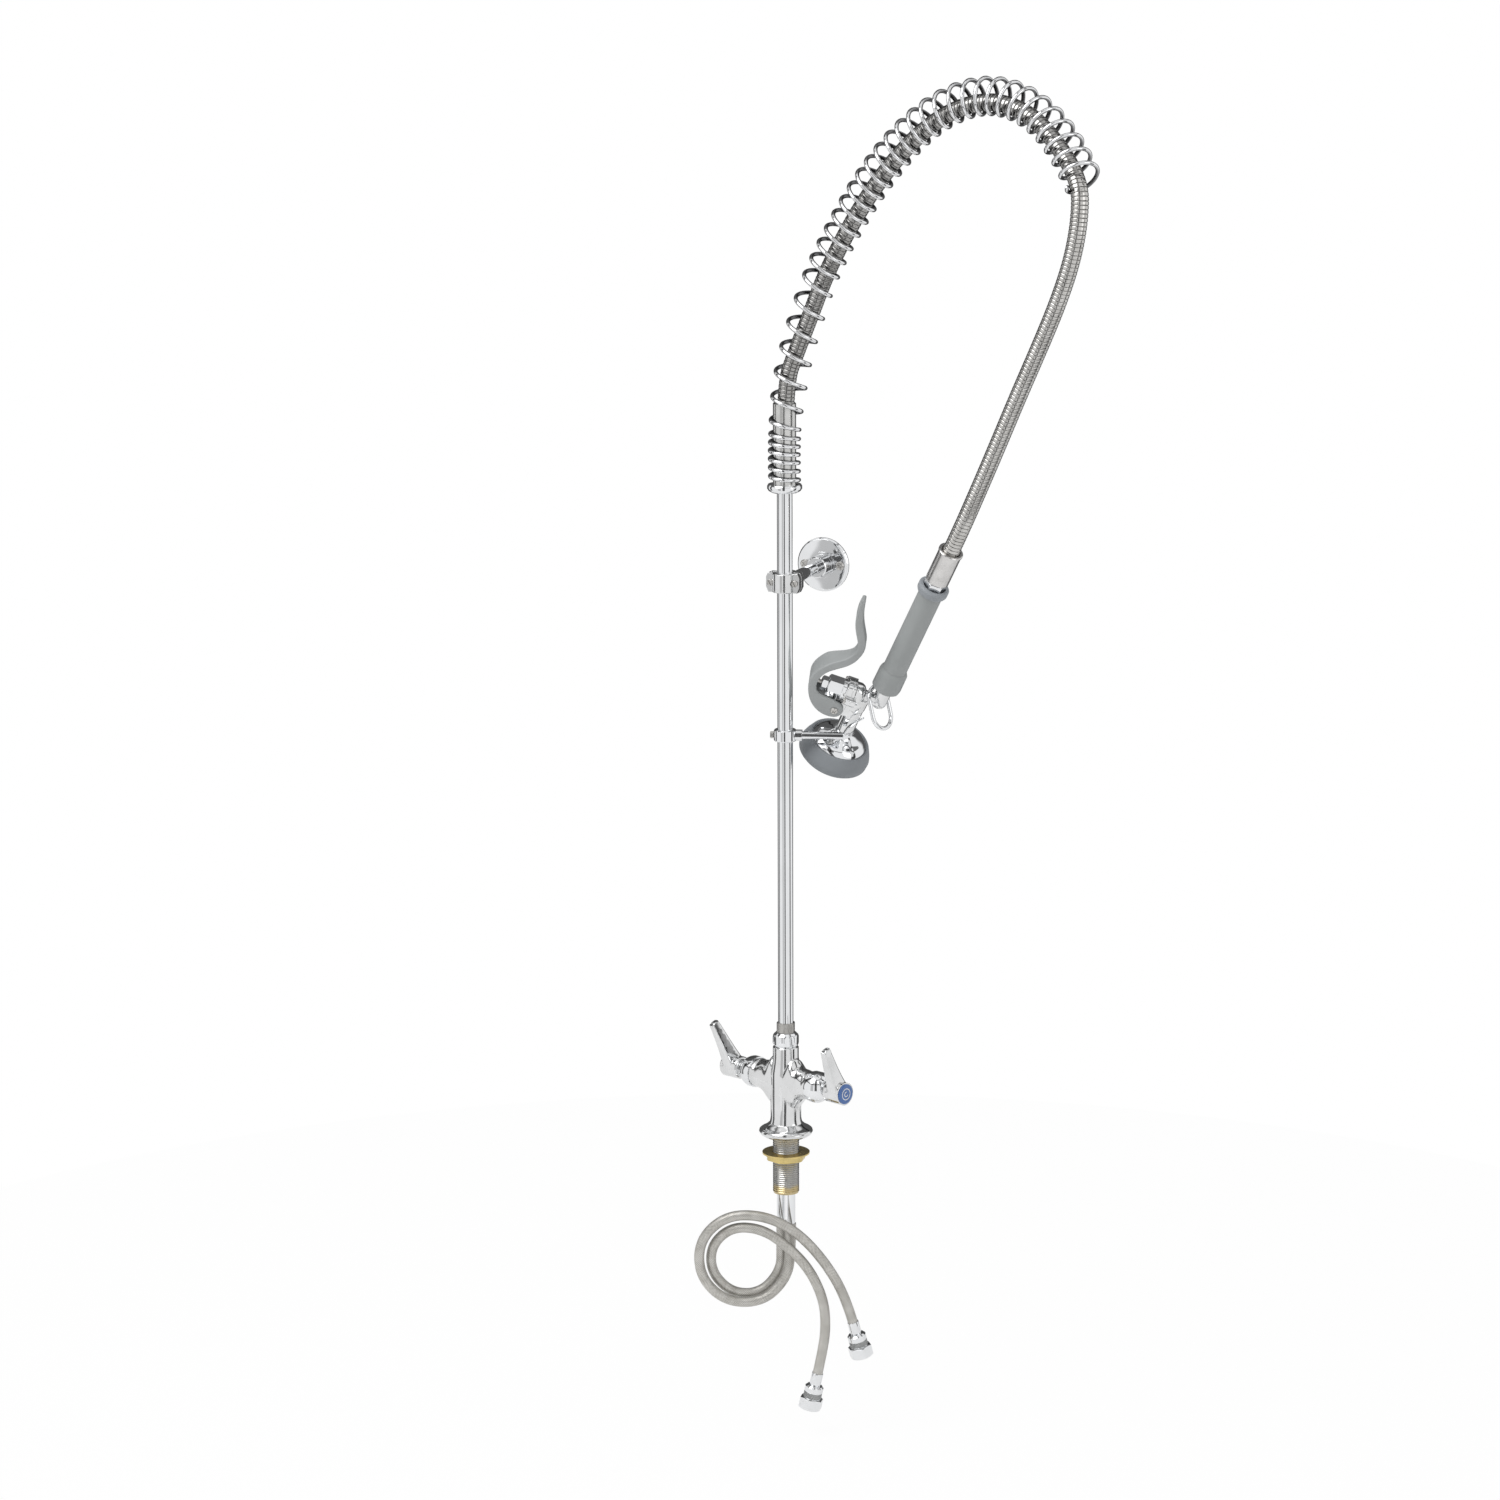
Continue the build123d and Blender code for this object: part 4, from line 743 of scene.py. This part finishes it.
def braidMaterial():
    m = Shader("braid")
    height = m.attribute("braidHeight")
    turn = m.attribute("braidTurn")
    travel = m.attribute("braidTravel")
    wires = []
    for way in ("ADD", "SUBTRACT"):
        phase = m.math("MULTIPLY", m.math(way, turn, travel), 2 * math.pi * 4)
        wires.append(m.math("SINE", phase))
    wire = m.math("MAXIMUM", wires[0], wires[1])
    patch = m.noise(90, 3)
    crown = m.blend(m.spread(patch, 0.3, 0.7, 0, 1), (0.72, 0.705, 0.665), (0.54, 0.525, 0.485))
    # painted shade: dark between the strands and where one strand passes under another
    colour = m.blend(m.spread(height, 0.42, 0.86, 1, 0), crown, (0.07, 0.066, 0.06))
    m.bump(wire, 0.35, 0.04 * mm)
    return m.finish(colour, m.spread(height, 0, 1, 0.55, 0.30), 0.6)


def glossMaterial(name, colour, dark):
    m = Shader(name)
    patch = m.noise(150, 3)
    tint = m.blend(m.spread(patch, 0.3, 0.7, 0, 1), colour, dark)
    m.surface.inputs["Coat Weight"].default_value = 0.4
    m.bump(m.noise(500, 2), 0.05, 0.02 * mm)
    return m.finish(tint, m.spread(patch, 0.3, 0.7, 0.16, 0.28), 0.0)


def turnFor(axis):
    return Vector(axis).rotation_difference(Vector((0, 0, 1))).to_euler()[:]


materials = {
    "castChrome": chromeMaterial("castChrome", 1.6, 0.16, 0.9 * mm, ("cast", "castMist")),
    "smoothChrome": chromeMaterial("smoothChrome", 0.25, 0.07),
    "tubeChrome": tubeChromeMaterial(),
    "spring": springMaterial(),
    "ribbedSteel": ribbedSteelMaterial(),
    "ferrule": turnedMaterial("footFerrule", (0.66, 0.66, 0.65), (0.56, 0.56, 0.55), (0.14, 0.24)),
    "valveFerrule": turnedMaterial("valveFerrule", (0.70, 0.69, 0.68), (0.58, 0.57, 0.56), (0.16, 0.26),
                                   turnFor(gripWay)),
    "nickel": turnedMaterial("dullNickel", (0.50, 0.49, 0.47), (0.40, 0.39, 0.37), (0.25, 0.40)),
    "brightNickel": chromeMaterial("brightNickel", 0.4, 0.16),
    "brass": turnedMaterial("turnedBrass", (0.78, 0.61, 0.25), (0.58, 0.47, 0.22), (0.16, 0.30), lines=1800),
    "shank": shankMaterial(),
    "steel": turnedMaterial("screwSteel", (0.62, 0.61, 0.59), (0.48, 0.47, 0.45), (0.20, 0.34)),
    "knurl": knurlMaterial(),
    "grip": plasticMaterial("gripPlastic", (0.318, 0.333, 0.333), (0.295, 0.31, 0.31),
                            (0.42, 0.54), 1500, 0.12),
    "lever": plasticMaterial("leverPlastic", (0.35, 0.366, 0.366), (0.32, 0.335, 0.335),
                             (0.30, 0.42), 1300, 0.08),
    "bumper": plasticMaterial("bumperRubber", (0.235, 0.252, 0.268), (0.205, 0.22, 0.236),
                              (0.50, 0.64), 1200, 0.20, 0.1),
    "endRing": plasticMaterial("endRingRubber", (0.29, 0.312, 0.335), (0.265, 0.285, 0.305),
                               (0.45, 0.6), 1200, 0.15, 0.1),
    "face": plasticMaterial("facePlastic", (0.035, 0.036, 0.04), (0.025, 0.026, 0.03),
                            (0.40, 0.55), 1400, 0.15),
    "blue": glossMaterial("coldBlue", (0.06, 0.15, 0.40), (0.05, 0.125, 0.34)),
    "red": glossMaterial("hotRed", (0.50, 0.03, 0.03), (0.42, 0.02, 0.02)),
    "mark": glossMaterial("markWhite", (0.80, 0.81, 0.82), (0.72, 0.73, 0.74)),
    "braid": braidMaterial(),
}

materialOf = {
    "castChrome": ["faucet_body", "valve_body", "bonnet_plate", "hot_lever", "cold_lever",
                   "bracket_clamp_front", "bracket_clamp_back"],
    "smoothChrome": ["riser_nut", "wall_flange", "hook_collar", "spring_nut", "swivel_nut", "bonnet_nut",
                     "packing_nut", "spray_bell", "hold_ring", "hot_bonnet", "cold_bonnet"],
    "tubeChrome": ["riser_pipe", "bracket_rod", "finger_hook", "hot_supply_tube", "cold_supply_tube"],
    "ferrule": ["hose_foot_ferrule"],
    "valveFerrule": ["spray_hose_ferrule"],
    "nickel": ["lock_ring"],
    "brightNickel": [side + end for side in sides
                     for end in ("_coupling_nut", "_hose_collar", "_hose_ferrule")],
    "brass": ["deck_washer", "shank_locknut", "grip_tube", "hot_stem", "cold_stem"],
    "shank": ["threaded_shank"],
    "steel": ["bracket_clamp_screws", "wall_screws", "hook_screw", "bonnet_plate_screws", "pivot_screw",
              "spray_face_screw", "valve_stem", "hot_handle_screw", "cold_handle_screw"],
    "grip": ["grip_sleeve"],
    "lever": ["squeeze_lever"],
    "bumper": ["bumper_ring"],
    "endRing": ["grip_end_ring"],
    "face": ["spray_face"],
    "blue": ["cold_index_button"],
    "red": ["hot_index_button"],
}


def dress(piece, look):
    piece.data.materials.clear()
    piece.data.materials.append(materials[look])


for look, names in materialOf.items():
    for name in names:
        dress(nodes[name], look)
dress(sprayHose, "ribbedSteel")
dress(spring, "spring")
for name in sides:
    dress(hoses[name][0], "braid")
    dress(knurls[name], "knurl")
    dress(marks[name], "mark")
print("materials set")


for name in sides:
    piece, line, length = hoses[name]
    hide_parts(name + "_supply_hose")
    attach(piece, "base")
    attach(knurls[name], "base")


studio = {
    "floorGap": 0.03,       # floor below the lowest coupling
    "floorRadius": 1.4,
    "floorColour": (0.93, 0.93, 0.93),
    "floorGlow": 0.955,     # share of plain white that the camera sees in the floor
    "floorCorners": 96,
    "skyForMatt": 0.70,     # plain light from all round
    "tentWhite": 0.92,      # what polished metal sees
    "keyPower": 34.0,
    "fillPower": 7.0,
    "lampSize": 2.0,
    "lampAim": (0.1, 0.02, 0.5),
    "cardEdge": (0.85, 1.12),   # a card's soft edge, in half widths
    "polesFrom": 50,            # degrees up where the upright cards begin to fade
    "polesTo": 78,
}

# dark cards that polished metal sees: bearing from the camera, half width in degrees, brightness
tentCards = [
    (-7, 8, 0.10), (73, 9, 0.06), (-35, 10, 0.62), (-104, 9, 0.12), (180, 54, 0.10),
]
# dark rings round the tent: height in degrees, half width, brightness
tentRings = [(30, 3, 0.16), (-40, 4, 0.22), (62, 3, 0.35)]


def addFloor():
    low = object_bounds()[0][2] - studio["floorGap"]
    corners = studio["floorCorners"]
    angle = np.linspace(0, 2 * math.pi, corners, endpoint=False)
    r = studio["floorRadius"]
    mesh = bpy.data.meshes.new("studioFloor")
    mesh.from_pydata([(r * math.cos(a), r * math.sin(a), low) for a in angle], [], [list(range(corners))])
    floor = bpy.data.objects.new("studioFloor", mesh)
    bpy.context.scene.collection.objects.link(floor)
    m = Shader("floor")
    m.finish(studio["floorColour"], 0.8, 0.0)
    glow = m.add("ShaderNodeEmission")
    mix = m.add("ShaderNodeMixShader")
    path = m.add("ShaderNodeLightPath")
    m.join(m.math("MULTIPLY", path.outputs["Is Camera Ray"], studio["floorGlow"]), mix.inputs[0])
    m.join(m.surface.outputs[0], mix.inputs[1])
    m.join(glow.outputs[0], mix.inputs[2])
    m.join(mix.outputs[0], m.tree.nodes["Material Output"].inputs["Surface"])
    mesh.materials.append(m.material)


def addWorld():
    world = bpy.data.worlds.new("studio")
    bpy.context.scene.world = world
    world.use_nodes = True
    tree = world.node_tree
    tree.nodes.clear()

    def calc(operation, a, b=0.0, c=0.0):
        node = tree.nodes.new("ShaderNodeMath")
        node.operation = operation
        for socket, value in zip(node.inputs, (a, b, c)):
            if isinstance(value, bpy.types.NodeSocket):
                tree.links.new(value, socket)
            else:
                socket.default_value = value
        return node.outputs[0]

    place = tree.nodes.new("ShaderNodeTexCoord")
    split = tree.nodes.new("ShaderNodeSeparateXYZ")
    tree.links.new(place.outputs["Generated"], split.inputs[0])
    turn = calc("ARCTAN2", split.outputs["Y"], split.outputs["X"])
    rise = calc("ARCSINE", split.outputs["Z"])

    def ease(value, low, high, outLow):
        soft = tree.nodes.new("ShaderNodeMapRange")
        soft.interpolation_type = "SMOOTHSTEP"
        tree.links.new(value, soft.inputs["Value"])
        soft.inputs["From Min"].default_value = math.radians(low)
        soft.inputs["From Max"].default_value = math.radians(high)
        soft.inputs["To Min"].default_value = outLow
        soft.inputs["To Max"].default_value = 1.0
        return soft.outputs[0]

    def card(value, centre, half, dark, wraps):
        away = calc("SUBTRACT", value, math.radians(centre))
        if wraps:
            away = calc("WRAP", away, math.pi, -math.pi)
        near, far = studio["cardEdge"]
        return ease(calc("ABSOLUTE", away), half * near, half * far, dark)

    sidesShade = None
    for centre, half, dark in tentCards:
        c = card(turn, centre + cameraView["turn"], half, dark, True)
        sidesShade = c if sidesShade is None else calc("MULTIPLY", sidesShade, c)
    poles = ease(calc("ABSOLUTE", rise), studio["polesFrom"], studio["polesTo"], 0.0)
    shade = calc("ADD", sidesShade, calc("MULTIPLY", calc("SUBTRACT", 1.0, sidesShade), poles))
    for centre, half, dark in tentRings:
        shade = calc("MULTIPLY", shade, card(rise, centre, half, dark, False))
    tent = calc("MULTIPLY", shade, studio["tentWhite"])

    path = tree.nodes.new("ShaderNodeLightPath")
    glossy = calc("MAXIMUM", path.outputs["Is Glossy Ray"], path.outputs["Is Transmission Ray"])
    sky = studio["skyForMatt"]
    plain = calc("ADD", calc("MULTIPLY", path.outputs["Is Camera Ray"], 1 - sky), sky)
    matt = calc("SUBTRACT", 1.0, glossy)
    level = calc("ADD", calc("MULTIPLY", glossy, tent), calc("MULTIPLY", matt, plain))
    back = tree.nodes.new("ShaderNodeBackground")
    out = tree.nodes.new("ShaderNodeOutputWorld")
    back.inputs["Color"].default_value = (1, 1, 1, 1)
    tree.links.new(level, back.inputs["Strength"])
    tree.links.new(back.outputs[0], out.inputs["Surface"])


def addLamp(name, turn, rise, distance, power):
    data = bpy.data.lights.new(name, "AREA")
    data.shape = "DISK"
    data.size = studio["lampSize"]
    data.energy = power
    lamp = bpy.data.objects.new(name, data)
    bpy.context.scene.collection.objects.link(lamp)
    aim = Vector(studio["lampAim"])
    way = direction(cameraView["turn"] + turn, rise)
    lamp.location = aim + way * distance
    lamp.rotation_euler = (-way).to_track_quat("-Z", "Y").to_euler()


addFloor()
addWorld()
addLamp("key", -55, 48, 2.6, studio["keyPower"])
addLamp("fill", 60, 20, 2.8, studio["fillPower"])
bpy.context.scene.view_settings.view_transform = "Standard"
print("studio set")
